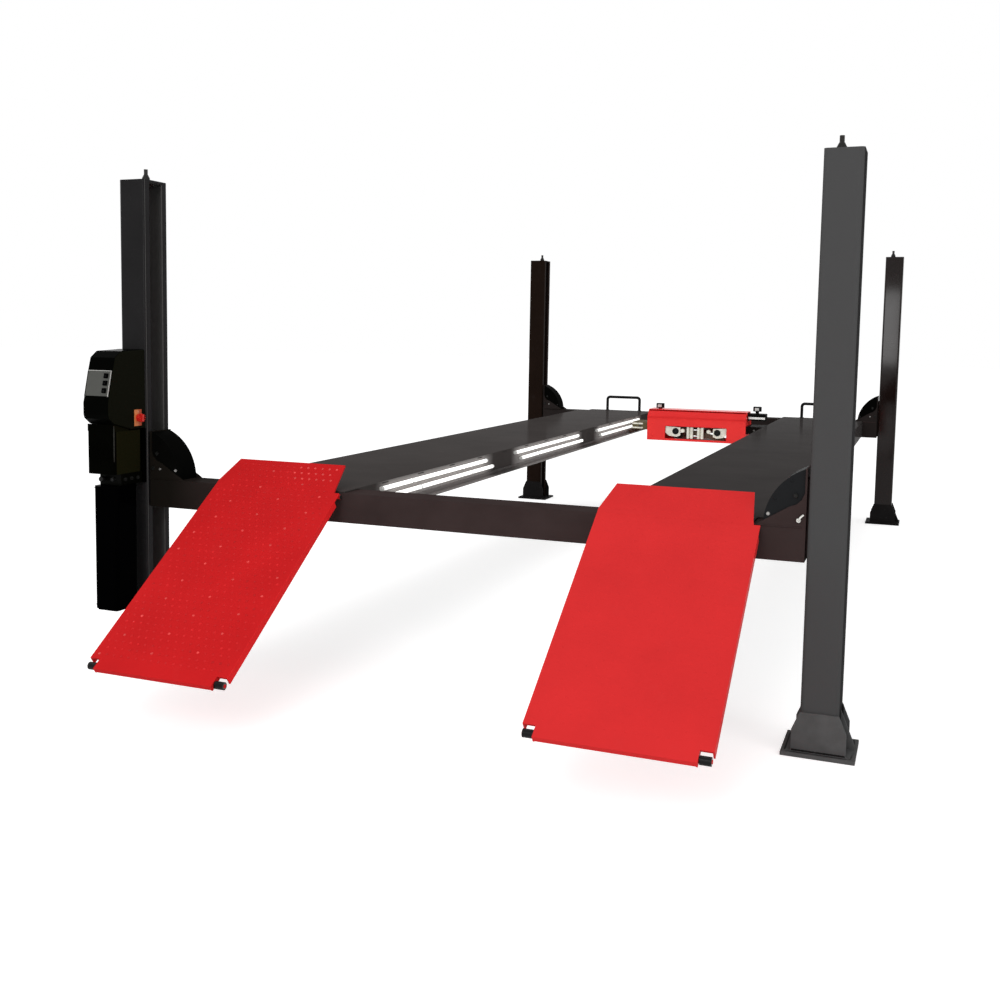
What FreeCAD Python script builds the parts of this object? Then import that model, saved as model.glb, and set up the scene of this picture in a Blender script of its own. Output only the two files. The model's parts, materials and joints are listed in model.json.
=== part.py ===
import FreeCAD, Part
import Sketcher
import os
import re

doc = FreeCAD.newDocument("FourPostLift")

# Driving sizes, in millimetres and degrees
SIZES = [
    ("runway_shift", 120, "runway pair set towards the right posts"),
    ("span_x", 3140, "left to right post centres"),
    ("span_y", 5800, "front to rear post centres"),
    ("post_h", 2250, "post height"),
    ("post_x", 142, "post section across the lift"),
    ("post_y", 172, "post section along the lift"),
    ("post_wall", 8, "post wall"),
    ("post_round", 14, "post outer corner radius"),
    ("slot_w", 96, "slot in the post's inner face"),
    ("cap_t", 10, "post top plate"),
    ("base_x", 270, "base plate across"),
    ("base_y", 255, "base plate along"),
    ("base_t", 15, "base plate thickness"),
    ("anchor_x", 224, "anchor hole spacing across"),
    ("anchor_y", 212, "anchor hole spacing along"),
    ("anchor_r", 9, "anchor hole radius"),
    ("gusset_t", 8, "gusset thickness"),
    ("gusset_half", 100, "half width of the gusset foot"),
    ("gusset_low", 95, "height where the gusset starts to slope"),
    ("gusset_top", 165, "gusset top"),
    ("rib_out", 56, "reach of the outer rib"),
    ("stud_in", 16, "cable anchor stud towards the middle of the lift"),
    ("stud_r", 9, "cable anchor stud radius"),
    ("stud_top", 55, "stud above the post top"),
    ("stud_low", 110, "stud below the post top"),
    ("nut_r", 18, "nut radius"),
    ("nut_h", 16, "nut height"),
    ("ladder_t", 12, "lock ladder thickness"),
    ("ladder_w", 60, "lock ladder width"),
    ("ladder_back", 10, "gap from ladder to post web"),
    ("rung_first", 260, "first slot above the floor"),
    ("rung_last", 290, "last slot below the post top"),
    ("rung_count", 18, "number of slots"),
    ("rung_w", 32, "slot width"),
    ("rung_h", 28, "slot height"),
    ("beam_z", 730, "crossbeam underside as photographed"),
    ("beam_h", 130, "crossbeam height"),
    ("beam_y", 150, "crossbeam width"),
    ("beam_wall", 6, "crossbeam wall"),
    ("beam_gap", 8, "crossbeam end to post face"),
    ("cheek_t", 8, "crossbeam end plate thickness"),
    ("cheek_top", 1084, "end plate top"),
    ("cheek_run", 186, "length of the end plate's sloping edge"),
    ("neck_w", 84, "guide neck through the post slot"),
    ("slide_play", 0.3, "running gap of slide blocks, arms and rollers"),
    ("block_low", 742, "slide block bottom"),
    ("block_top", 1040, "slide block top"),
    ("block_x", 86, "slide block depth into the post"),
    ("guard_r", 238, "pulley guard radius about the post axis"),
    ("guard_t", 3, "pulley guard sheet"),
    ("runway_off", 990, "runway inner edge from the posts, apart from the shift"),
    ("runway_w", 675, "runway width"),
    ("deck_t", 8, "deck plate"),
    ("side_t", 6, "runway side plate"),
    ("side_low", 739, "runway side plate bottom"),
    ("deck_lip", 12, "deck end back from the crossbeam's front face"),
    ("deck_clear", 80, "deck narrower over the crossbeams"),
    ("bearer_h", 90, "deck stiffener height"),
    ("bearer_count", 6, "cross stiffeners in each runway"),
    ("rail_w", 38, "jack rail ledge"),
    ("rail_t", 6, "jack rail thickness"),
    ("rail_up", 26, "jack rail upright leg"),
    ("rail_end", 25, "jack rail end short of the crossbeam"),
    ("tube_r", 10, "light tube radius"),
    ("tube_off", 12, "light tube centre off the side plate"),
    ("batten_h", 16, "light batten height"),
    ("tube_high", 838, "upper light line"),
    ("tube_low", 795, "lower light line"),
    ("tube_first", 195, "front end of the upper light line from the crossbeam"),
    ("tube_break", 478, "dark stretch between lights"),
    ("tube_lag", 100, "lower lights set further back"),
    ("stop_from", 285, "wheel stop centre from the runway inner edge"),
    ("stop_skew", 27, "right wheel stop further out"),
    ("stop_half", 152, "wheel stop half width"),
    ("stop_h", 123, "wheel stop bar above the deck"),
    ("stop_r", 12.5, "wheel stop tube radius"),
    ("stop_bend", 24, "wheel stop bend radius"),
    ("stop_in", 25, "wheel stop in from the deck's end"),
    ("ramp_angle", 34.7, "slope of the hanging ramps"),
    ("hinge_out", 18, "hinge pin in front of the crossbeam"),
    ("hinge_z", 846, "hinge pin height as photographed"),
    ("pin_r", 10, "hinge pin radius"),
    ("pin_play", 0.1, "radial play at the hinge pin"),
    ("knuckle_r", 18, "hinge knuckle radius"),
    ("knuckle_w", 24, "hinge knuckle width"),
    ("ramp_from", 314.5, "ramp centre from the runway inner edge"),
    ("ramp_half", 316.5, "ramp half width"),
    ("ramp_len", 1033, "ramp length from the pin to the notches"),
    ("ramp_nose", 48, "nose beyond the notches"),
    ("ramp_notch", 46, "notch width"),
    ("ramp_lift", 23, "ramp plate above the pin centre"),
    ("ramp_t", 8, "ramp plate"),
    ("tail_len", 163, "tail behind the pin"),
    ("tail_half", 273, "tail half width at its end"),
    ("tail_angle", 3, "tail bend"),
    ("fold_d", 26, "ramp side fold depth"),
    ("fold_t", 6, "ramp side fold thickness"),
    ("fold_back", 60, "fold end in front of the pin"),
    ("wheel_r", 15, "ramp roller radius"),
    ("wheel_w", 38, "ramp roller width"),
    ("wheel_gap", 2, "ramp roller clear of the ramp's cheek"),
    ("axle_r", 7, "ramp roller axle radius"),
    ("jack_back", 780, "jack centre from the rear posts as photographed"),
    ("jack_share", 81 / 116, "jack body's width over the gap between the runways"),
    ("jack_d", 300, "jack width along the lift"),
    ("jack_low", 700, "jack underside"),
    ("jack_split", 880, "top of the jack's base frame"),
    ("jack_top", 955, "top of the jack beam"),
    ("jack_wall", 6, "jack plate"),
    ("bevel_share", 0.65, "jack beam's bevels over the room beside the arms"),
    ("bevel_low", 0.25, "foot of the bevels over the jack beam's height"),
    ("window_share", 0.6222, "jack window width over the jack body's width"),
    ("window_top", 820, "top of the window"),
    ("arm_d", 110, "telescopic arm width"),
    ("arm_h", 56, "telescopic arm height"),
    ("arm_play", 3, "play around the arms"),
    ("arm_share", 74 / 81, "telescopic arm length over half the jack body's width"),
    ("arm_out", 143, "right arm drawn out as photographed"),
    ("arm_wall", 5, "arm wall"),
    ("pad_in", 75, "pad from the arm's end"),
    ("pad_r", 34, "pad radius"),
    ("pad_h", 38, "pad height"),
    ("stem_r", 14, "pad stem radius"),
    ("notch_w", 36, "slot for the pad stem"),
    ("carriage_low", 782, "carriage bar underside"),
    ("carriage_top", 842, "carriage bar top"),
    ("carriage_share", 134 / 145, "reach of the carriages over the gap to the runway side"),
    ("roller_r", 12, "jack roller radius"),
    ("roller_w", 22, "jack roller width"),
    ("roller_y", 100, "jack roller from the jack centre"),
    ("link_t", 12, "scissor link thickness"),
    ("link_h", 34, "scissor link height"),
    ("unit_off", 6.5, "power unit centre outside the post centre"),
    ("unit_w", 143, "console width"),
    ("console_d", 249, "console depth"),
    ("console_low", 1100, "console underside"),
    ("console_h", 368, "console height"),
    ("console_lean", 13.7, "lean of the operating face"),
    ("panel_w", 126, "operating panel width"),
    ("panel_h", 116, "operating panel height"),
    ("panel_t", 3, "operating panel thickness"),
    ("button_w", 22, "push button"),
    ("button_out", 6, "push button beyond the panel"),
    ("button_deep", 12, "push button pocket"),
    ("button_play", 0.3, "play around a push button"),
    ("button_pitch", 34, "push button pitch"),
    ("button_side", 41, "push buttons right of the console centre"),
    ("plate_w", 50, "switch plate width"),
    ("plate_h", 76, "switch plate height"),
    ("plate_t", 3, "switch plate thickness"),
    ("plate_back", 30, "switch plate in front of the post"),
    ("knob_r", 17, "switch knob radius"),
    ("knob_l", 28, "switch knob length"),
    ("knob_play", 0.5, "gap behind the switch knob"),
    ("bracket_t", 14, "power unit back plate"),
    ("valve_d", 150, "valve block depth"),
    ("valve_w", 120, "valve block width"),
    ("valve_low", 845, "valve block underside"),
    ("motor_low", 900, "motor underside"),
    ("motor_w", 160, "motor width"),
    ("motor_d", 200, "motor front from the post"),
    ("motor_round", 26, "motor corner radius"),
    ("motor_top", 1096, "motor top"),
    ("tank_w", 130, "oil tank width"),
    ("tank_d", 155, "oil tank depth"),
    ("tank_low", 268, "oil tank bottom"),
    ("tank_gap", 59, "oil tank clear of the post"),
    ("tank_round", 22, "oil tank edge rounding"),
]

sheet = doc.addObject("Spreadsheet::Sheet", "Sizes")
for row, (alias, value, meaning) in enumerate(SIZES, start=1):
    sheet.set("A%d" % row, meaning)
    sheet.set("B%d" % row, str(value))
    sheet.setAlias("B%d" % row, alias)
doc.recompute()

FUNCTIONS = {"cos", "sin", "tan", "sqrt", "deg"}
FOLLOWS = [
    ("window_half", "(@jack_half * window_share)"),
    ("arm_long", "(@jack_half * arm_share)"),
    ("jack_half", "(@runway_in * jack_share)"),
    ("carriage_end", "(@runway_in * carriage_share)"),
    ("jack_bevel", "(((jack_d - arm_d) / 2 - arm_play - jack_wall) * bevel_share)"),
    ("ramp_mid", "(@runway_in + ramp_from)"),
    ("runway_in", "(span_x / 2 - runway_off)"),
    ("unit_x", "(-span_x / 2 - unit_off)"),
]
NODES = []


def whole(text):
    """Write out the lengths that follow from the post spacing and other sizes."""
    for word, meaning in FOLLOWS:
        text = text.replace("@" + word, meaning)
    return text


def ex(text):
    """Turn size names into references to the sheet."""
    text = whole(str(text))

    def swap(match):
        word = match.group(0)
        return word if word in FUNCTIONS else "Sizes." + word
    return re.sub(r"[a-z_][a-z_0-9]*", swap, text)


def bind(obj, prop, text):
    obj.setExpression(prop, ex(text))


def place(obj, x, y, z):
    bind(obj, "Placement.Base.x", x)
    bind(obj, "Placement.Base.y", y)
    bind(obj, "Placement.Base.z", z)


def span(side, start, width):
    """Low end of a stretch that starts at `start` and runs outward, on either side."""
    if side > 0:
        return "(%s)" % start
    return "(-(%s) - (%s))" % (start, width)


def box(name, x, y, z, dx, dy, dz):
    obj = doc.addObject("Part::Box", name)
    bind(obj, "Length", dx)
    bind(obj, "Width", dy)
    bind(obj, "Height", dz)
    place(obj, x, y, z)
    return obj


def rod(name, axis, x, y, z, radius, length):
    """Cylinder from its start point along a row axis."""
    obj = doc.addObject("Part::Cylinder", name)
    turns = {"x": (FreeCAD.Vector(0, 1, 0), 90), "y": (FreeCAD.Vector(1, 0, 0), -90), "z": (FreeCAD.Vector(0, 0, 1), 0)}
    way, angle = turns[axis]
    obj.Placement = FreeCAD.Placement(FreeCAD.Vector(0, 0, 0), FreeCAD.Rotation(way, angle))
    bind(obj, "Radius", radius)
    bind(obj, "Height", length)
    place(obj, x, y, z)
    return obj


def rounded(name, x, y, z, dx, dy, dz, radius):
    """Upright bar of oblong section with round corners."""
    def away(start, length):
        return ["(%s) + (%s)" % (start, radius), "(%s) + (%s) - (%s)" % (start, length, radius)]
    pieces = [box(name + "Wide", x, "(%s) + (%s)" % (y, radius), z, dx, "(%s) - 2 * (%s)" % (dy, radius), dz),
              box(name + "Deep", "(%s) + (%s)" % (x, radius), y, z, "(%s) - 2 * (%s)" % (dx, radius), dy, dz)]
    for i, cx in enumerate(away(x, dx)):
        for j, cy in enumerate(away(y, dy)):
            pieces.append(rod("%sCorner%d%d" % (name, i, j), "z", cx, cy, z, radius, dz))
    obj = fuse(name, pieces)
    obj.Refine = True
    return obj


def fuse(name, shapes):
    if len(shapes) == 1:
        return shapes[0]
    obj = doc.addObject("Part::MultiFuse", name)
    obj.Shapes = shapes
    return obj


def cut(name, base, tools):
    obj = doc.addObject("Part::Cut", name)
    obj.Base = base
    obj.Tool = fuse(name + "Tools", tools)
    return obj


def common(name, shapes):
    obj = doc.addObject("Part::MultiCommon", name)
    obj.Shapes = shapes
    return obj


def group(name, shapes):
    obj = doc.addObject("Part::Compound", name)
    obj.Links = shapes
    return obj


def node(obj, label):
    obj.Label = label
    NODES.append(obj)
    return obj


def profile(name, plane, points, depth, x, y, z, middle=False, back=False):
    """A padded outline: points are pairs of expressions in the plane's own axes."""
    body = doc.addObject("PartDesign::Body", name)
    outline = body.newObject("Sketcher::SketchObject", name + "Outline")
    face = [f for f in body.Origin.OriginFeatures if f.Role == plane][0]
    outline.AttachmentSupport = [(face, "")]
    outline.MapMode = "FlatFace"
    count = len(points)
    flat = []
    for pair in points:
        flat.append([float(value_of(part)) for part in pair])
    for i in range(count):
        a = FreeCAD.Vector(flat[i][0], flat[i][1], 0)
        b = FreeCAD.Vector(flat[(i + 1) % count][0], flat[(i + 1) % count][1], 0)
        outline.addGeometry(Part.LineSegment(a, b), False)
    for i in range(count):
        outline.addConstraint(Sketcher.Constraint("Coincident", i, 2, (i + 1) % count, 1))
    for i in range(count):
        for kind, part, shown in (("DistanceX", 0, "across"), ("DistanceY", 1, "up")):
            index = outline.addConstraint(Sketcher.Constraint(kind, -1, 1, i, 1, flat[i][part]))
            title = "%s%d" % (shown, i)
            outline.renameConstraint(index, title)
            outline.setExpression("Constraints." + title, ex(points[i][part]))
    pad = body.newObject("PartDesign::Pad", name + "Pad")
    pad.Profile = outline
    bind(pad, "Length", depth)
    pad.Midplane = middle
    pad.Reversed = back
    outline.Visibility = False
    body.Tip = pad
    place(body, x, y, z)
    return body


def value_of(text):
    """Number that an expression has at the start, to draw the outline near its place."""
    table = dict((alias, value) for alias, value, meaning in SIZES)
    plain = re.sub(r"[a-z_][a-z_0-9]*", lambda m: repr(float(table.get(m.group(0), 0))) if m.group(0) in table
                   else m.group(0), whole(str(text)))
    cell = doc.getObject("Sizes")
    cell.set("D1", "=" + plain)
    doc.recompute([cell])
    number = float(cell.get("D1"))
    cell.clear("D1")
    return number


FRONT = "(-span_y / 2)"
REAR = "(span_y / 2)"
CORNERS = [("front_left", -1, -1), ("front_right", 1, -1), ("rear_left", -1, 1), ("rear_right", 1, 1)]
END_Y = {-1: FRONT, 1: REAR}

# Posts: slotted channels closed by a top plate
for corner, sx, sy in CORNERS:
    tag = corner.title().replace("_", "")
    cy = END_Y[sy]
    inner = "span_x / 2 - post_x / 2"
    outer = rounded("Post%sOuter" % tag, span(sx, inner, "post_x"), cy + " - post_y / 2", "base_t",
                    "post_x", "post_y", "post_h - base_t", "post_round")
    hollow = rounded("Post%sHollow" % tag, span(sx, inner + " + post_wall", "post_x - 2 * post_wall"),
                     cy + " - post_y / 2 + post_wall", "base_t - cap_t",
                     "post_x - 2 * post_wall", "post_y - 2 * post_wall", "post_h - base_t", "post_round - post_wall")
    slot = box("Post%sSlot" % tag, span(sx, inner, "2 * post_wall"), cy + " - slot_w / 2", "base_t",
               "2 * post_wall", "slot_w", "post_h - base_t - cap_t")
    eye = rod("Post%sEye" % tag, "z", "%d * (span_x / 2 - stud_in)" % sx, cy, "post_h - 2 * cap_t", "stud_r + pin_play", "3 * cap_t")
    node(cut("Post%s" % tag, outer, [hollow, slot, eye]), "post_" + corner)

# Base plates with gussets in front of and behind each post and a rib on the outside
for corner, sx, sy in CORNERS:
    tag = corner.title().replace("_", "")
    cx = "%d * span_x / 2" % sx
    cy = END_Y[sy]
    pieces = [box("Base%sPlate" % tag, cx + " - base_x / 2", cy + " - base_y / 2", "0", "base_x", "base_y", "base_t")]
    outline = [("-gusset_half", "base_t / 2"), ("gusset_half", "base_t / 2"), ("gusset_half", "gusset_low"),
               ("post_x / 2", "gusset_top"), ("-post_x / 2", "gusset_top"), ("-gusset_half", "gusset_low")]
    pieces.append(profile("Base%sGussetNear" % tag, "XZ_Plane", outline, "gusset_t", cx, cy + " - post_y / 2", "0"))
    pieces.append(profile("Base%sGussetFar" % tag, "XZ_Plane", outline, "gusset_t", cx,
                          cy + " + post_y / 2 + gusset_t", "0"))
    reach = "%d * (post_x / 2)" % sx
    tip = "%d * (post_x / 2 + rib_out)" % sx
    rib = [(reach, "base_t / 2"), (tip, "base_t / 2"), (tip, "base_t * 2"), (reach, "gusset_top")]
    pieces.append(profile("Base%sRib" % tag, "XZ_Plane", rib, "gusset_t", cx, cy, "0", middle=True))
    holes = []
    for i, hx in enumerate((-1, 1)):
        for j, hy in enumerate((-1, 1)):
            holes.append(rod("Base%sHole%d%d" % (tag, i, j), "z", "%s + %d * anchor_x / 2" % (cx, hx),
                             "%s + %d * anchor_y / 2" % (cy, hy), "-base_t", "anchor_r", "3 * base_t"))
    node(cut("Base%s" % tag, fuse("Base%sWelded" % tag, pieces), holes), "base_plate_" + corner)

# Cable anchor studs on the post tops, each with a nut below and above the top plate
studs = []
for corner, sx, sy in CORNERS:
    tag = corner.title().replace("_", "")
    cx = "%d * (span_x / 2 - stud_in)" % sx
    cy = END_Y[sy]
    stem = rod("Stud%sStem" % tag, "z", cx, cy, "post_h - stud_low", "stud_r", "stud_low + stud_top")
    upper = rod("Stud%sUpper" % tag, "z", cx, cy, "post_h", "nut_r", "nut_h")
    lower = rod("Stud%sLower" % tag, "z", cx, cy, "post_h - cap_t - nut_h", "nut_r", "nut_h")
    studs.append(fuse("Stud%s" % tag, [stem, upper, lower]))
node(group("CableStuds", studs), "cable_anchor_studs")

# Lock ladders: slotted flat bars inside the posts, one slot patterned along the bar
for side, sx in (("left", -1), ("right", 1)):
    bars = []
    for end, sy in (("Front", -1), ("Rear", 1)):
        name = "Ladder%s%s" % (side.title(), end)
        body = profile(name, "YZ_Plane", [("-ladder_w / 2", "base_t"), ("ladder_w / 2", "base_t"),
                                           ("ladder_w / 2", "post_h - cap_t"), ("-ladder_w / 2", "post_h - cap_t")],
                       "ladder_t",
                       span(sx, "span_x / 2 + post_x / 2 - post_wall - ladder_back - ladder_t", "ladder_t"),
                       END_Y[sy], "0")
        rung = body.newObject("Sketcher::SketchObject", name + "Rung")
        face = [f for f in body.Origin.OriginFeatures if f.Role == "YZ_Plane"][0]
        rung.AttachmentSupport = [(face, "")]
        rung.MapMode = "FlatFace"
        low = [("-rung_w / 2", "rung_first"), ("rung_w / 2", "rung_first"),
               ("rung_w / 2", "rung_first + rung_h"), ("-rung_w / 2", "rung_first + rung_h")]
        spots = [[value_of(a), value_of(b)] for a, b in low]
        for i in range(len(spots)):
            here = FreeCAD.Vector(spots[i][0], spots[i][1], 0)
            there = FreeCAD.Vector(spots[(i + 1) % len(spots)][0], spots[(i + 1) % len(spots)][1], 0)
            rung.addGeometry(Part.LineSegment(here, there), False)
        for i in range(len(spots)):
            rung.addConstraint(Sketcher.Constraint("Coincident", i, 2, (i + 1) % len(spots), 1))
        for i in range(len(spots)):
            for kind, part, shown in (("DistanceX", 0, "across"), ("DistanceY", 1, "up")):
                index = rung.addConstraint(Sketcher.Constraint(kind, -1, 1, i, 1, spots[i][part]))
                title = "%s%d" % (shown, i)
                rung.renameConstraint(index, title)
                rung.setExpression("Constraints." + title, ex(low[i][part]))
        pocket = body.newObject("PartDesign::Pocket", name + "Slot")
        pocket.Profile = rung
        bind(pocket, "Length", "ladder_t")
        pocket.Reversed = True
        body.Tip = pocket
        upright = [f for f in body.Origin.OriginFeatures if f.Role == "Z_Axis"][0]
        row = body.newObject("PartDesign::LinearPattern", name + "Slots")
        row.Originals = [pocket]
        row.Direction = (upright, [""])
        bind(row, "Length", "post_h - rung_first - rung_last")
        bind(row, "Occurrences", "rung_count")
        body.Tip = row
        rung.Visibility = False
        bars.append(body)
    node(group("Ladders%s" % side.title(), bars), "lock_ladders_" + side)

# Crossbeams: hollow beams with end plates that rise beside the posts, and guide necks through the post slots
BEAM_END = "(span_x / 2 - post_x / 2 - beam_gap)"
BEAM_TOP = "(beam_z + beam_h)"
for end, sy in (("front", -1), ("rear", 1)):
    tag = end.title()
    cy = END_Y[sy]
    tube = cut("Beam%sTube" % tag,
               box("Beam%sSolid" % tag, "-" + BEAM_END, cy + " - beam_y / 2", "beam_z",
                   "2 * " + BEAM_END, "beam_y", "beam_h"),
               [box("Beam%sBore" % tag, "-" + BEAM_END + " - beam_wall", cy + " - beam_y / 2 + beam_wall",
                    "beam_z + beam_wall", "2 * " + BEAM_END + " + 2 * beam_wall", "beam_y - 2 * beam_wall",
                    "beam_h - 2 * beam_wall")])
    pieces = [tube]
    for side, sx in (("Left", -1), ("Right", 1)):
        pieces.append(box("Beam%sCap%s" % (tag, side), span(sx, BEAM_END + " - cheek_t", "cheek_t"),
                          cy + " - beam_y / 2", "beam_z", "cheek_t", "beam_y", "cheek_top - beam_z"))
        pieces.append(box("Beam%sNeck%s" % (tag, side), span(sx, BEAM_END + " - cheek_t / 2",
                                                             "cheek_t / 2 + beam_gap + post_wall + slide_play"),
                          cy + " - neck_w / 2", "block_low", "cheek_t / 2 + beam_gap + post_wall + slide_play",
                          "neck_w", "block_top - block_low"))
        # the sloping edge runs from the beam's top, curves up and follows the post
        edge = [("0", BEAM_TOP + " - beam_wall / 2"), ("0", "cheek_top"), ("-cheek_t", "cheek_top"),
                ("-cheek_t", "cheek_top - cheek_run / 2"), ("-cheek_t * 2.25", "cheek_top - cheek_run * 0.63"),
                ("-cheek_t * 4.5", "cheek_top - cheek_run * 0.73"), ("-cheek_t * 8", "cheek_top - cheek_run * 0.79"),
                ("-cheek_run + cheek_t * 3.5", BEAM_TOP + " + cheek_t * 2.4"), ("-cheek_run", BEAM_TOP + " + cheek_t / 4"),
                ("-cheek_run", BEAM_TOP + " - beam_wall / 2")]
        if sx < 0:
            edge = [("-(%s)" % a, b) for a, b in edge]
        pieces.append(profile("Beam%sCheekNear%s" % (tag, side), "XZ_Plane", edge, "cheek_t", "%d * %s" % (sx, BEAM_END),
                              cy + " - beam_y / 2 + cheek_t", "0"))
        pieces.append(profile("Beam%sCheekFar%s" % (tag, side), "XZ_Plane", edge, "cheek_t", "%d * %s" % (sx, BEAM_END),
                              cy + " + beam_y / 2", "0"))
    if sy < 0:
        # hinge lugs for the two ramps
        lugs = []
        bores = []
        pin_y = cy + " - beam_y / 2 - hinge_out"
        for side, sx in (("Left", -1), ("Right", 1)):
            for k, spot in enumerate(("-ramp_half * 0.84", "-ramp_half * 0.3", "ramp_half * 0.3", "ramp_half * 0.84")):
                at = "runway_shift + %d * @ramp_mid + %s - knuckle_w / 2" % (sx, spot)
                lugs.append(rod("Lug%s%dEye" % (side, k), "x", at, pin_y, "hinge_z", "knuckle_r", "knuckle_w"))
                lugs.append(box("Lug%s%dFoot" % (side, k), at, pin_y, "hinge_z - knuckle_r * 1.5", "knuckle_w",
                                "hinge_out + beam_wall / 2", "knuckle_r * 2"))
            bores.append(rod("LugBore%s" % side, "x", "runway_shift + %d * @ramp_mid - ramp_half" % sx, pin_y, "hinge_z",
                             "pin_r + pin_play", "2 * ramp_half"))
        body = cut("Beam%s" % tag, fuse("Beam%sWelded" % tag, pieces + lugs), bores)
    else:
        body = fuse("Beam%s" % tag, pieces)
    node(body, "crossbeam_" + end)

# Slide blocks that run inside the posts, round at the corners as the channel is
blocks = []
for corner, sx, sy in CORNERS:
    blocks.append(rounded("Block%s" % corner.title().replace("_", ""),
                          span(sx, "span_x / 2 - post_x / 2 + post_wall + slide_play", "block_x"),
                          END_Y[sy] + " - post_y / 2 + post_wall + slide_play", "block_low",
                          "block_x", "post_y - 2 * post_wall - 2 * slide_play", "block_top - block_low",
                          "post_round - post_wall"))
node(group("Blocks", blocks), "slide_blocks")

# Pulley guards: quarter round sheet housings on the crossbeam ends
shells = []
for corner, sx, sy in CORNERS:
    tag = corner.title().replace("_", "")
    cy = END_Y[sy]
    reach = "(guard_r - post_x / 2 - beam_gap - cheek_t)"
    wide = "(beam_y - 2 * cheek_t)"
    drum = rod("Guard%sDrum" % tag, "y", "%d * span_x / 2" % sx, cy + " - %s / 2" % wide, BEAM_TOP, "guard_r", wide)
    keep = box("Guard%sQuarter" % tag, span(sx, "span_x / 2 - guard_r", reach), cy + " - %s / 2" % wide, BEAM_TOP,
               reach, wide, "guard_r")
    core = rod("Guard%sCore" % tag, "y", "%d * span_x / 2" % sx,
               cy + " - %s / 2 + guard_t" % wide, BEAM_TOP, "guard_r - guard_t", wide + " - 2 * guard_t")
    shells.append(cut("Guard%s" % tag, common("Guard%sRound" % tag, [drum, keep]), [core]))
node(group("Guards", shells), "pulley_guards")

# Runways: deck plate, side plates, end plates and stiffeners below
DECK_TOP = "(%s + deck_t)" % BEAM_TOP
INSIDE = "(span_y / 2 - beam_y / 2)"
for side, sx in (("left", -1), ("right", 1)):
    tag = "Runway" + side.title()
    pieces = []

    def across(start, width, sign=sx):
        return "runway_shift + " + span(sign, start, width)

    pieces.append(box(tag + "Deck", across("@runway_in", "runway_w"), "-" + INSIDE, BEAM_TOP,
                      "runway_w", "2 * " + INSIDE, "deck_t"))
    pieces.append(box(tag + "Lips", across("@runway_in", "runway_w - deck_clear"),
                      "-span_y / 2 - beam_y / 2 + deck_lip", BEAM_TOP, "runway_w - deck_clear",
                      "span_y + beam_y - deck_lip", "deck_t"))
    for k, start in enumerate(("@runway_in", "@runway_in + runway_w - side_t")):
        pieces.append(box(tag + "Side%d" % k, across(start, "side_t"), "-" + INSIDE, "side_low",
                          "side_t", "2 * " + INSIDE, BEAM_TOP + " - side_low"))
    for k, start in enumerate(("-" + INSIDE, INSIDE + " - side_t")):
        pieces.append(box(tag + "End%d" % k, across("@runway_in", "runway_w"), start, "side_low",
                          "runway_w", "side_t", BEAM_TOP + " - side_low"))
    for k in range(6):
        where = "-%s + %d * 2 * %s / (bearer_count + 1)" % (INSIDE, k + 1, INSIDE)
        pieces.append(box(tag + "Bearer%d" % k, across("@runway_in + side_t / 2", "runway_w - side_t"), where,
                          BEAM_TOP + " - bearer_h", "runway_w - side_t", "side_t", "bearer_h"))
    for k, share in enumerate(("1 / 3", "2 / 3")):
        pieces.append(box(tag + "Spine%d" % k, across("@runway_in + runway_w * %s" % share, "side_t"),
                          "-" + INSIDE, BEAM_TOP + " - bearer_h", "side_t", "2 * " + INSIDE, "bearer_h"))
    node(fuse(tag, pieces), "runway_" + side)

    # jack rail: angle bar along the runway's inner side
    rail = "Rail" + side.title()
    length = "2 * (%s - rail_end)" % INSIDE
    ledge = box(rail + "Ledge", across("@runway_in - rail_w", "rail_w"), "-%s + rail_end" % INSIDE,
                "side_low", "rail_w", length, "rail_t")
    upright = box(rail + "Upright", across("@runway_in - rail_t", "rail_t"), "-%s + rail_end" % INSIDE,
                  "side_low", "rail_t", length, "rail_up")
    node(fuse(rail, [ledge, upright]), "jack_rail_" + side)

    # light tubes on battens, two lines of three
    lamps = []
    for k in range(3):
        for level, lag in (("high", "0"), ("low", "tube_lag")):
            name = "Lamp%s%s%d" % (side.title(), level.title(), k)
            step = "(2 * %s - tube_first) / 3" % INSIDE
            start = "-%s + tube_first + %d * %s + %s" % (INSIDE, k, step, lag)
            glass = rod(name + "Tube", "y", "runway_shift + %d * (@runway_in - tube_off)" % sx, start, "tube_" + level,
                        "tube_r", "%s - tube_break" % step)
            batten = box(name + "Batten", across("@runway_in - tube_off", "tube_off"), start, "tube_%s - batten_h / 2" % level,
                         "tube_off", "%s - tube_break" % step, "batten_h")
            lamps.append(fuse(name, [glass, batten]))
    node(group("Lamps" + side.title(), lamps), "runway_lights_" + side)

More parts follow.
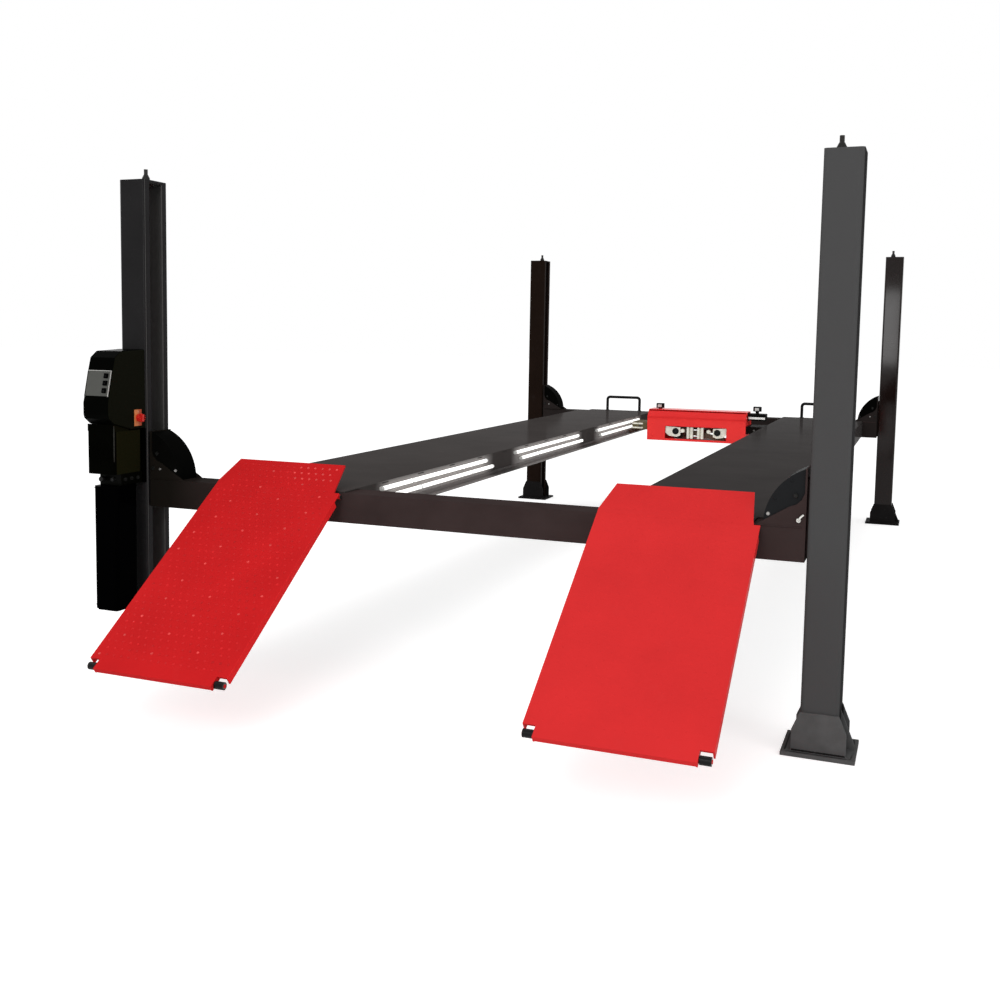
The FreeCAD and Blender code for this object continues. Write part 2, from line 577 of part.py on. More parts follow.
# Wheel stops: bent tube hoops at the rear end of each runway
hoops = []
for side, sx in (("Left", -1), ("Right", 1)):
    cx = "runway_shift + %d * (@runway_in + stop_from)%s" % (sx, " + stop_skew" if sx > 0 else "")
    cy = "span_y / 2 + beam_y / 2 - stop_in"
    top = DECK_TOP + " + stop_h"
    parts = [rod("Hoop%sBar" % side, "x", cx + " - stop_half + stop_bend", cy, top, "stop_r", "2 * (stop_half - stop_bend)")]
    for hand, sign in (("A", -1), ("B", 1)):
        parts.append(rod("Hoop%sLeg%s" % (side, hand), "z", "%s + %d * stop_half" % (cx, sign), cy, DECK_TOP, "stop_r",
                         "stop_h - stop_bend"))
        bend = doc.addObject("Part::Torus", "Hoop%sBend%s" % (side, hand))
        bind(bend, "Radius1", "stop_bend")
        bind(bend, "Radius2", "stop_r")
        bend.Angle3 = 90
        face = FreeCAD.Rotation(FreeCAD.Vector(1, 0, 0), 90)
        if sign < 0:
            face = FreeCAD.Rotation(FreeCAD.Vector(0, 0, 1), 180).multiply(face)
        bend.Placement = FreeCAD.Placement(FreeCAD.Vector(0, 0, 0), face)
        place(bend, "%s + %d * (stop_half - stop_bend)" % (cx, sign), cy, top + " - stop_bend")
        parts.append(bend)
    hoops.append(fuse("Hoop" + side, parts))
node(group("WheelStops", hoops), "wheel_stops")

# Ramps: plate, tapered tail that rises as a wheel stop, side folds, ribs, knuckles and pin in one weldment
PIN_Y = "(-span_y / 2 - beam_y / 2 - hinge_out)"
for side, sx in (("left", -1), ("right", 1)):
    tag = "Ramp" + side.title()
    plate = [("-ramp_half", "-ramp_len"), ("-ramp_half + ramp_notch", "-ramp_len"),
             ("-ramp_half + ramp_notch", "-ramp_len - ramp_nose"), ("ramp_half - ramp_notch", "-ramp_len - ramp_nose"),
             ("ramp_half - ramp_notch", "-ramp_len"), ("ramp_half", "-ramp_len"), ("ramp_half", "-pin_r"),
             ("-ramp_half", "-pin_r")]
    pieces = [profile(tag + "Plate", "XY_Plane", plate, "ramp_t", "0", "0", "ramp_lift")]
    tail = [("-ramp_half", "-2 * pin_r"), ("(ramp_half + tail_half) / 2", "-2 * pin_r"),
            ("(ramp_half + 2 * tail_half) / 3", "2 * pin_r"), ("tail_half", "tail_len"), ("-tail_half", "tail_len"),
            ("-ramp_half", "2 * pin_r")]
    flap = profile(tag + "Tail", "XY_Plane", tail, "ramp_t", "0", "0", "ramp_lift")
    flap.Placement = FreeCAD.Placement(FreeCAD.Vector(0, 0, 0), FreeCAD.Rotation(FreeCAD.Vector(1, 0, 0), 1))
    bind(flap, "Placement.Rotation.Angle", "tail_angle")
    place(flap, "0", "0", "ramp_lift")
    pieces.append(flap)
    for hand, sign in (("A", -1), ("B", 1)):
        pieces.append(box(tag + "Fold" + hand, span(sign, "ramp_half - fold_t", "fold_t"), "-ramp_len", "ramp_lift - fold_d",
                          "fold_t", "ramp_len - fold_back", "fold_d + ramp_t / 2"))
        pieces.append(box(tag + "Rib" + hand, span(sign, "ramp_half / 3", "fold_t"), "-ramp_len", "ramp_lift - fold_d",
                          "fold_t", "ramp_len - fold_back", "fold_d + ramp_t / 2"))
        pieces.append(box(tag + "Cheek" + hand, span(sign, "ramp_half - ramp_notch - fold_t", "fold_t"),
                          "-ramp_len - ramp_nose", "ramp_lift - fold_d * 0.6", "fold_t", "ramp_nose + fold_back",
                          "fold_d * 0.6 + ramp_t / 2"))
        pieces.append(rod(tag + "Axle" + hand, "x", span(sign, "ramp_half - ramp_notch - fold_t / 2", "ramp_notch"),
                          "-ramp_len - ramp_nose / 2", "ramp_lift - wheel_r + pin_r / 2", "axle_r", "ramp_notch"))
        pieces.append(box(tag + "Knuckle" + hand, span(sign, "ramp_half * 0.62", "knuckle_w"), "-pin_r", "-pin_r",
                          "knuckle_w", "2 * pin_r", "ramp_lift + pin_r + ramp_t / 2"))
    pieces.append(box(tag + "NoseRib", "-ramp_half + ramp_notch", "-ramp_len - ramp_nose", "ramp_lift - fold_d / 2",
                      "2 * (ramp_half - ramp_notch)", "fold_t", "fold_d / 2 + ramp_t / 2"))
    pieces.append(rod(tag + "Pin", "x", "-ramp_half + fold_t", "0", "0", "pin_r", "2 * (ramp_half - fold_t)"))
    ramp = fuse(tag, pieces)
    ramp.Placement = FreeCAD.Placement(FreeCAD.Vector(0, 0, 0), FreeCAD.Rotation(FreeCAD.Vector(1, 0, 0), 1))
    bind(ramp, "Placement.Rotation.Angle", "ramp_angle")
    place(ramp, "runway_shift + %d * @ramp_mid" % sx, PIN_Y, "hinge_z")
    node(ramp, "ramp_" + side)

    wheels = []
    for hand, sign in (("A", -1), ("B", 1)):
        spot_y = "-ramp_len - ramp_nose / 2"
        spot_z = "ramp_lift - wheel_r + pin_r / 2"
        start = "ramp_half - ramp_notch + wheel_gap"
        wheel = rod(tag + "Wheel" + hand, "x", span(sign, start, "wheel_w"), spot_y, spot_z, "wheel_r", "wheel_w")
        bore = rod(tag + "WheelBore" + hand, "x", span(sign, start + " - wheel_gap", "wheel_w + 2 * wheel_gap"), spot_y, spot_z,
                   "axle_r + pin_play", "wheel_w + 2 * wheel_gap")
        wheels.append(cut(tag + "Roller" + hand, wheel, [bore]))
    pair = group(tag + "Rollers", wheels)
    pair.Placement = FreeCAD.Placement(FreeCAD.Vector(0, 0, 0), FreeCAD.Rotation(FreeCAD.Vector(1, 0, 0), 1))
    bind(pair, "Placement.Rotation.Angle", "ramp_angle")
    place(pair, "runway_shift + %d * @ramp_mid" % sx, PIN_Y, "hinge_z")
    node(pair, "ramp_%s_rollers" % side)

# Jack beam: lower frame with a window, upper beam that guides the arms
JACK_Y = "(span_y / 2 - jack_back)"
LOW_X = "(runway_shift - @jack_half)"
frame = cut("JackBaseShell",
            box("JackBaseSolid", LOW_X, JACK_Y + " - jack_d / 2", "jack_low", "2 * @jack_half", "jack_d",
                "jack_split - jack_low"),
            [box("JackBaseHollow", LOW_X + " + jack_wall", JACK_Y + " - jack_d / 2 + jack_wall", "jack_low + jack_wall",
                 "2 * (@jack_half - jack_wall)", "jack_d - 2 * jack_wall", "jack_split - jack_low")])
window = box("JackWindow", "runway_shift - @window_half", JACK_Y + " - jack_d / 2 - jack_wall", "jack_low + 3 * jack_wall",
             "2 * @window_half", "jack_d + 2 * jack_wall", "window_top - jack_low - 3 * jack_wall")
node(cut("JackBase", frame, [window]), "jack_base")

half = "(jack_d / 2)"
low = "(jack_top - jack_split) * bevel_low"
section = [("-" + half, "0"), (half, "0"), (half, low), (half + " - @jack_bevel", "jack_top - jack_split"),
           ("-" + half + " + @jack_bevel", "jack_top - jack_split"), ("-" + half, low)]
shell = profile("JackBeamSection", "YZ_Plane", section, "2 * @jack_half", LOW_X, JACK_Y, "jack_split")
guide = "(arm_d + 2 * arm_play)"
room = box("JackBeamGuide", LOW_X + " - jack_wall", JACK_Y + " - %s / 2" % guide, "jack_split + jack_wall",
           "2 * (@jack_half + jack_wall)", guide, "arm_h + 2 * arm_play")
sides = []
for hand, sign in (("A", -1), ("B", 1)):
    start = "%s / 2 + jack_wall" % guide
    wide = "jack_d / 2 - @jack_bevel - %s" % start
    sides.append(box("JackBeamSide" + hand, LOW_X + " + jack_wall", JACK_Y + " + " + span(sign, start, wide),
                     "jack_split + jack_wall", "2 * (@jack_half - jack_wall)", wide, "jack_top - jack_split - 2 * jack_wall"))
for hand, sign in (("A", -1), ("B", 1)):
    deep = "pad_in + arm_play + notch_w / 2"
    sides.append(box("JackBeamNotch" + hand, "runway_shift + " + span(sign, "@jack_half - (%s)" % deep, deep + " + jack_wall"),
                     JACK_Y + " - notch_w / 2", "jack_top - 3 * jack_wall", deep + " + jack_wall", "notch_w", "4 * jack_wall"))
node(cut("JackBeam", shell, [room] + sides), "jack_beam")

# scissor links and their end pins, seen through the window
links = []
for hand, sign in (("A", -1), ("B", 1)):
    reach = "@window_half * 0.9"
    rise = "(window_top - jack_low - link_h)"
    line = [("-" + reach, "jack_wall"), ("-%s + link_h" % reach, "jack_wall"),
            (reach, rise), (reach, rise + " + link_h"), ("%s - link_h" % reach, rise + " + link_h"), ("-" + reach, "jack_wall + link_h")]
    if sign < 0:
        line = [("-(%s)" % a, b) for a, b in line]
    links.append(profile("JackLink" + hand, "XZ_Plane", line, "link_t", "runway_shift",
                         JACK_Y + " + %d * jack_d / 4 + link_t / 2" % sign, "jack_low"))
for hand, sign in (("A", -1), ("B", 1)):
    links.append(rod("JackLinkPin" + hand, "y", "runway_shift + %d * (@window_half * 0.9 - link_h / 2)" % sign,
                     JACK_Y + " - jack_d / 4 - link_t", "jack_low + (window_top - jack_low - link_h) + link_h / 2", "link_h / 3",
                     "jack_d / 2 + 2 * link_t"))
links.append(rod("JackLinkHeart", "y", "runway_shift", JACK_Y + " - jack_d / 4 - link_t",
                 "jack_low + (window_top - jack_low + jack_wall) / 2", "link_h / 3", "jack_d / 2 + 2 * link_t"))
links.append(box("JackLinkBed", "runway_shift - @window_half * 0.8", JACK_Y + " - jack_d / 4 - link_t",
                 "jack_low + jack_wall", "@window_half * 1.6", "jack_d / 2 + 2 * link_t", "jack_wall"))
node(fuse("JackLinks", links), "jack_scissor_links")

# carriages that carry the jack on the two rails
ends = []
for hand, sign in (("Left", -1), ("Right", 1)):
    start = "@jack_half"
    reach = "(@carriage_end - @jack_half)"
    parts = [box("Carriage%sBar" % hand, "runway_shift + " + span(sign, start, reach), JACK_Y + " - jack_d / 2 + 3 * jack_wall",
                 "carriage_low", reach, "jack_d - 6 * jack_wall", "carriage_top - carriage_low")]
    wheel_z = "side_low + rail_t + roller_r + slide_play"
    for k, way in enumerate((-1, 1)):
        cy = JACK_Y + " + %d * roller_y" % way
        face = "@carriage_end - jack_wall"
        parts.append(box("Carriage%sLeg%d" % (hand, k), "runway_shift + " + span(sign, face, "jack_wall"), cy + " - roller_r",
                         "side_low + rail_t + roller_r / 2", "jack_wall", "2 * roller_r", "carriage_low - side_low"))
        parts.append(rod("Carriage%sAxle%d" % (hand, k), "x",
                         "runway_shift + " + span(sign, "@carriage_end - jack_wall / 2", "jack_wall * 3"), cy, wheel_z,
                         "roller_r / 2", "jack_wall * 3"))
        parts.append(rod("Carriage%sRoller%d" % (hand, k), "x",
                         "runway_shift + " + span(sign, "@runway_in - rail_w + jack_wall", "roller_w"), cy, wheel_z,
                         "roller_r", "roller_w"))
    ends.append(fuse("Carriage" + hand, parts))
node(group("JackCarriages", ends), "jack_carriages")

# telescopic arms with pads
ARM_Z = "(jack_split + jack_wall + slide_play)"
for side, sx in (("left", -1), ("right", 1)):
    out = "0" if sx < 0 else "arm_out"
    tag = "Arm" + side.title()
    start = "@jack_half - @arm_long + " + out
    solid = box(tag + "Solid", "runway_shift + " + span(sx, start, "@arm_long"), JACK_Y + " - arm_d / 2", ARM_Z,
                "@arm_long", "arm_d", "arm_h")
    bore = box(tag + "Bore", "runway_shift + " + span(sx, start + " - arm_wall", "@arm_long"), JACK_Y + " - arm_d / 2 + arm_wall",
               ARM_Z + " + arm_wall", "@arm_long", "arm_d - 2 * arm_wall", "arm_h - 2 * arm_wall")
    node(cut(tag, solid, [bore]), "jack_arm_" + side)
    at = "runway_shift + %d * (@jack_half + %s - pad_in)" % (sx, out)
    stem = rod("Pad%sStem" % side.title(), "z", at, JACK_Y, ARM_Z + " + arm_h", "stem_r", "jack_top - jack_split - arm_h")
    cap = rod("Pad%sCap" % side.title(), "z", at, JACK_Y, "jack_top + jack_wall", "pad_r", "pad_h")
    node(fuse("Pad" + side.title(), [stem, cap]), "jack_pad_" + side)

# Power unit on the front left post
FACE = "(-span_y / 2 - post_y / 2)"
plate = box("BracketPlate", "@unit_x - valve_w / 2 - bracket_t", FACE + " - bracket_t", "valve_low", "valve_w + 2 * bracket_t",
            "bracket_t", "console_low - valve_low")
node(plate, "power_unit_bracket")
node(box("ValveSolid", "@unit_x - valve_w / 2", FACE + " - bracket_t - valve_d", "valve_low", "valve_w", "valve_d",
         "motor_low - valve_low"), "valve_block")
node(rounded("Motor", "@unit_x - motor_w / 2 - bracket_t", FACE + " - motor_d - bracket_t", "motor_low", "motor_w",
             "motor_d", "motor_top - motor_low", "motor_round"), "electric_motor")

# oil tank: deep vessel with rounded corners, hung below the valve block, its foot drawn in a little
wide = rounded("TankWall", "@unit_x + bracket_t / 2 - tank_w / 2", FACE + " - tank_gap - tank_d", "tank_low + tank_round / 3",
               "tank_w", "tank_d", "valve_low - tank_low - tank_round / 3", "tank_round")
foot = rounded("TankFoot", "@unit_x + bracket_t / 2 - tank_w / 2 + tank_round / 3", FACE + " - tank_gap - tank_d + tank_round / 3",
               "tank_low", "tank_w - 2 * tank_round / 3", "tank_d - 2 * tank_round / 3", "tank_round", "tank_round * 2 / 3")
node(fuse("Tank", [wide, foot]), "oil_tank")

lean = "tan(console_lean * 1 deg)"
deep = "console_d"
nose = "bracket_t / 2"
outline = [("0", "0"), ("-%s * 0.4" % deep, "0"), ("-%s + bracket_t * 2.4" % deep, "bracket_t * 2.2"),
           ("-" + deep, "bracket_t * 4"), ("-%s - %s" % (deep, nose), "bracket_t * 5.4"),
           ("-%s - %s" % (deep, nose), "console_h * 0.43 - bracket_t * 2"), ("-" + deep, "console_h * 0.43"),
           ("-%s + console_h * 0.34 * %s" % (deep, lean), "console_h * 0.77"),
           ("-%s + console_h * 0.34 * %s + bracket_t" % (deep, lean), "console_h * 0.9"),
           ("-%s + console_h * 0.34 * %s + bracket_t * 4" % (deep, lean), "console_h * 0.98"), ("0", "console_h")]
case = profile("ConsoleCase", "YZ_Plane", outline, "unit_w", "@unit_x - unit_w / 2", FACE, "console_low")
TURN = FreeCAD.Rotation(FreeCAD.Vector(-1, 0, 0), 1)
COS = "cos(console_lean * 1 deg)"
SIN = "sin(console_lean * 1 deg)"
PANEL_FOOT = "(console_low + console_h * 0.43)"


def leaning(obj, x, out, up):
    """Place a piece on the console's leaning face: out of the face, and up along it."""
    obj.Placement = FreeCAD.Placement(FreeCAD.Vector(0, 0, 0), TURN)
    bind(obj, "Placement.Rotation.Angle", "console_lean")
    place(obj, x, FACE + " - console_d + (%s) * %s - (%s) * %s" % (up, SIN, out, COS),
          PANEL_FOOT + " + (%s) * %s + (%s) * %s" % (up, COS, out, SIN))


holes = []
for k in range(3):
    hole = box("ConsoleHole%d" % k, "0", "0", "0", "button_w + 2 * button_play", "2 * button_deep",
               "button_w + 2 * button_play")
    leaning(hole, "@unit_x + button_side - button_w / 2 - button_play", "button_deep",
            "panel_h - %d * button_pitch - button_w * 1.5 - button_play" % k)
    holes.append(hole)
node(cut("Console", case, holes), "control_console")

# Operating panel on the leaning face, with openings for the three push buttons
panel = box("PanelSheet", "0", "0", "0", "panel_w", "panel_t", "panel_h")
leaning(panel, "@unit_x - panel_w / 2", "panel_t", "0")
openings = []
for k in range(3):
    opening = box("PanelHole%d" % k, "0", "0", "0", "button_w + 2 * button_play", "3 * panel_t",
                  "button_w + 2 * button_play")
    leaning(opening, "@unit_x + button_side - button_w / 2 - button_play", "2 * panel_t",
            "panel_h - %d * button_pitch - button_w * 1.5 - button_play" % k)
    openings.append(opening)
node(cut("Panel", panel, openings), "console_panel")
for k, name in enumerate(("raise", "lower", "lock")):
    key = box("Button" + name.title(), "0", "0", "0", "button_w", "button_out + panel_t + button_deep / 2", "button_w")
    leaning(key, "@unit_x + button_side - button_w / 2", "panel_t + button_out",
            "panel_h - %d * button_pitch - button_w * 1.5" % k)
    node(key, "button_" + name)

# Main switch: plate on the console's right side with a turning knob
SIDE_X = "(@unit_x + unit_w / 2)"
SWITCH_Y = "(%s - plate_back - plate_w / 2)" % FACE
SWITCH_Z = "(console_low + bracket_t + plate_h / 2)"
node(box("SwitchPlate", SIDE_X, SWITCH_Y + " - plate_w / 2", SWITCH_Z + " - plate_h / 2", "plate_t", "plate_w", "plate_h"),
     "main_switch_plate")
disc = rod("KnobDisc", "x", SIDE_X + " + plate_t + knob_play", SWITCH_Y, SWITCH_Z, "knob_r", "knob_l / 2")
grip = box("KnobGrip", SIDE_X + " + plate_t + knob_play + knob_l / 4", SWITCH_Y + " - knob_r / 3", SWITCH_Z + " - knob_r * 0.9",
           "knob_l * 3 / 4", "knob_r * 2 / 3", "knob_r * 1.8")
node(fuse("Knob", [disc, grip]), "main_switch_knob")

doc.recompute()

failed = [obj.Name for obj in doc.Objects if "Invalid" in obj.State or "Error" in obj.State]
if failed:
    raise RuntimeError("objects that did not compute: " + ", ".join(failed))
for obj in NODES:
    if obj.Shape.isNull() or not obj.Shape.isValid():
        raise RuntimeError("no valid shape: " + obj.Label)

os.makedirs("parts", exist_ok=True)
for obj in NODES:
    obj.Shape.exportStep(os.path.join("parts", obj.Label + ".step"))
    print(obj.Label, len(obj.Shape.Solids), round(obj.Shape.Volume / 1000), "cm3")
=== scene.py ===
import bpy
import bmesh
import json
import math
from mathutils import Matrix, Vector


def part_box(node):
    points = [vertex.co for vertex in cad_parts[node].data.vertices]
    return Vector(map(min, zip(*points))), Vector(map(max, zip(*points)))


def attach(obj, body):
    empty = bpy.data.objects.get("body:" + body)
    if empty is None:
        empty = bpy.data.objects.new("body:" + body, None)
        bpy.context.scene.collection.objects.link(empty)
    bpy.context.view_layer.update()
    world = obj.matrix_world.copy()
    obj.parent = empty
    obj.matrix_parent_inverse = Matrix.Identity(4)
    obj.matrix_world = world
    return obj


# Looks of a four-post car lift: materials, fasteners, welds, tread, light and camera. Sizes are in metres.
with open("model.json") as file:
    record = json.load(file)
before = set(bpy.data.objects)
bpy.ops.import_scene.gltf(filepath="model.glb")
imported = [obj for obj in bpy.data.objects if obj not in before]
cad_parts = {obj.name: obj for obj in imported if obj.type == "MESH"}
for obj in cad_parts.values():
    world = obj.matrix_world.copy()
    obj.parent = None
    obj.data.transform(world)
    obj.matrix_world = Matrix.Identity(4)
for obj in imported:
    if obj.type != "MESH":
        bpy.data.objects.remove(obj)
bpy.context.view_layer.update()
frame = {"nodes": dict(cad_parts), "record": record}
nodes = frame["nodes"]

# ---------------- places on the solid parts, at rest
BOTH = (-1, 1)
POST_X, POST_Y = 1.57, 2.9          # post centres
POST_SIDE = 0.0725                  # weld beads beside the posts
STUD_X = 1.554                      # cable anchor studs
FOOT_Z = 0.0165                     # weld beads on the base plates
BEAM_TOP = 0.86
RUNWAYS = ((-1.135, -0.46), (0.7, 1.375))
DECK_ENDS = ((-1.055, -0.46), (0.7, 1.295))
INNER_SIDES = (-0.46, 0.7)          # side plates that carry the light tubes
TUBES = ((-0.448, 1), (0.688, -1))  # x of the light tubes and the way to the middle of the lift
TUBE_LENGTH = 1.34
UPPER_TUBES = (-2.63, -0.8117, 1.0067)
LOWER_TUBES = (-2.53, -0.7117, 1.1067)
HOOP_FEET, HOOP_Y = (-0.897, -0.593, 0.86, 1.164), 2.95
SEAM_Z = 0.8605                     # weld beads along the deck's lower edge
JACK_Y = 2.12
JACK_FACES = ((1.97, -1), (2.27, 1))


# ---------------- materials
def add_node(tree, kind, links=(), values=()):
    """A shader node with its incoming links and its fixed values."""
    made = tree.nodes.new(kind)
    for socket, source in dict(links).items():
        tree.links.new(source, made.inputs[socket])
    for socket, value in dict(values).items():
        made.inputs[socket].default_value = value
    return made


def compute(tree, operation, first, second=None):
    """A Math node on two sockets, or on a socket and a number."""
    step = tree.nodes.new("ShaderNodeMath")
    step.operation = operation
    for place, value in enumerate((first, second)):
        if isinstance(value, float):
            step.inputs[place].default_value = value
        elif value is not None:
            tree.links.new(value, step.inputs[place])
    return step.outputs[0]


NOISE_SPAN = (0.3, 0.7)      # where most of the noise lies
SCRATCH_SPAN = (0.62, 0.8)   # its highest parts
RELIEF_DEPTH = 0.0006
TUBE_LIGHT = (1.0, 0.99, 0.96)


def material(name, colour, rough=0.4, metal=0.0, level=0.5, mottle=0.12, size=9.0, grain=600.0, bump=0.08,
             spread=0.08, scratch=0.0, glow=0.0, ior=1.5, zones=()):
    """A procedural paint, metal or plastic: mottled colour, uneven gloss, fine grain and rubbed marks.

    Each zone is a colour and its limits; most zones here are painted light or painted shade. A limit is
    (axis, centre, half, soft), and the axis stands between bars where the limit is mirrored. A glowing
    material glows outside its zones.
    """
    made = bpy.data.materials.new(name)
    made.use_nodes = True
    tree = made.node_tree
    tree.nodes.clear()
    shader = add_node(tree, "ShaderNodeBsdfPrincipled", (),
                      {"Metallic": metal, "Specular IOR Level": level, "IOR": ior})
    add_node(tree, "ShaderNodeOutputMaterial", {0: shader.outputs[0]})
    place = tree.nodes.new("ShaderNodeTexCoord").outputs["Object"]

    def remap(value, from_low, from_high, to_low, to_high):
        return add_node(tree, "ShaderNodeMapRange", {"Value": value},
                        {"From Min": from_low, "From Max": from_high,
                         "To Min": to_low, "To Max": to_high}).outputs["Result"]

    def noise(scale, detail):
        return add_node(tree, "ShaderNodeTexNoise", {"Vector": place},
                        {"Scale": scale, "Detail": detail}).outputs["Fac"]

    def mix(factor, first, second):
        blend = tree.nodes.new("ShaderNodeMix")
        blend.data_type = "RGBA"
        tree.links.new(factor, blend.inputs["Factor"])
        for socket, value in ((blend.inputs["A"], first), (blend.inputs["B"], second)):
            if isinstance(value, tuple):
                socket.default_value = value + (1.0,)
            else:
                tree.links.new(value, socket)
        return blend.outputs["Result"]

    def zone(limits):
        """One inside all the limits and zero outside them."""
        apart = add_node(tree, "ShaderNodeSeparateXYZ", {0: place})
        result = None
        for axis, centre, half, soft in limits:
            value = apart.outputs[axis.strip("|")]
            if "|" in axis:
                value = compute(tree, "ABSOLUTE", value)
            off = compute(tree, "ABSOLUTE", compute(tree, "SUBTRACT", value, centre))
            inside = remap(off, half - soft, half, 1.0, 0.0)
            result = inside if result is None else compute(tree, "MULTIPLY", result, inside)
        return result

    dark = tuple(c * (1.0 - mottle) for c in colour)
    pale = tuple(min(1.0, c * (1.0 + mottle)) for c in colour)
    tint = mix(remap(noise(size, 5.0), *NOISE_SPAN, 0.0, 1.0), dark, pale)
    if scratch:
        rubbed_and_highlit = tuple(min(1.0, c * 0.6 + 0.16) for c in colour)
        tint = mix(remap(noise(size * 2.3, 9.0), *SCRATCH_SPAN, 0.0, scratch), tint, rubbed_and_highlit)
    for paint, limits in zones:
        tint = mix(zone(limits), tint, paint)
    tree.links.new(tint, shader.inputs["Base Color"])
    gloss = remap(noise(size * 3.1, 6.0), *NOISE_SPAN, rough - spread, rough + spread)
    tree.links.new(gloss, shader.inputs["Roughness"])
    relief = add_node(tree, "ShaderNodeBump", {"Height": noise(grain, 3.0)},
                      {"Strength": bump, "Distance": RELIEF_DEPTH})
    tree.links.new(relief.outputs["Normal"], shader.inputs["Normal"])
    if glow:
        light = TUBE_LIGHT
        for _, limits in zones:
            light = mix(zone(limits), light, (0.0, 0.0, 0.0))
        tree.links.new(light, shader.inputs["Emission Color"])
        shader.inputs["Emission Strength"].default_value = glow
    return made


# Y spans where the light tubes' glow is painted into the colour of nearby surfaces
PAINTED_TUBE_LIGHT_SPANS = [("Y", y + 0.72, 0.76, 0.16) for y in UPPER_TUBES]


def painted_tube_light(x):
    """Painted light: lighter stretches of a side plate around its light tubes, the tubes' glow painted into
    the plate's colour.
    """
    return [((0.33, 0.31, 0.302), (("X", x, 0.002, 0.001), stretch, ("Z", 0.8, 0.085, 0.035)))
            for stretch in PAINTED_TUBE_LIGHT_SPANS]


# painted light inside the posts: the shaded inner walls of each post's channel get a lighter colour
INSIDE_POST = (("|X|", POST_X, 0.0702, 0.0004), ("|Y|", POST_Y, 0.0792, 0.0004))
PAINTED_LIGHT_INSIDE_GREY = ((0.09, 0.088, 0.086), INSIDE_POST)
PAINTED_LIGHT_INSIDE_BROWN = ((0.03, 0.02, 0.017), INSIDE_POST)
PAINTED_SHEEN_FRONT_RIGHT_GUARD = (("X", 1.4, 0.3, 0.001), ("Y", -2.9, 0.3, 0.001))
LEFT_CARRIAGE = ("X", -0.4, 0.3, 0.001)
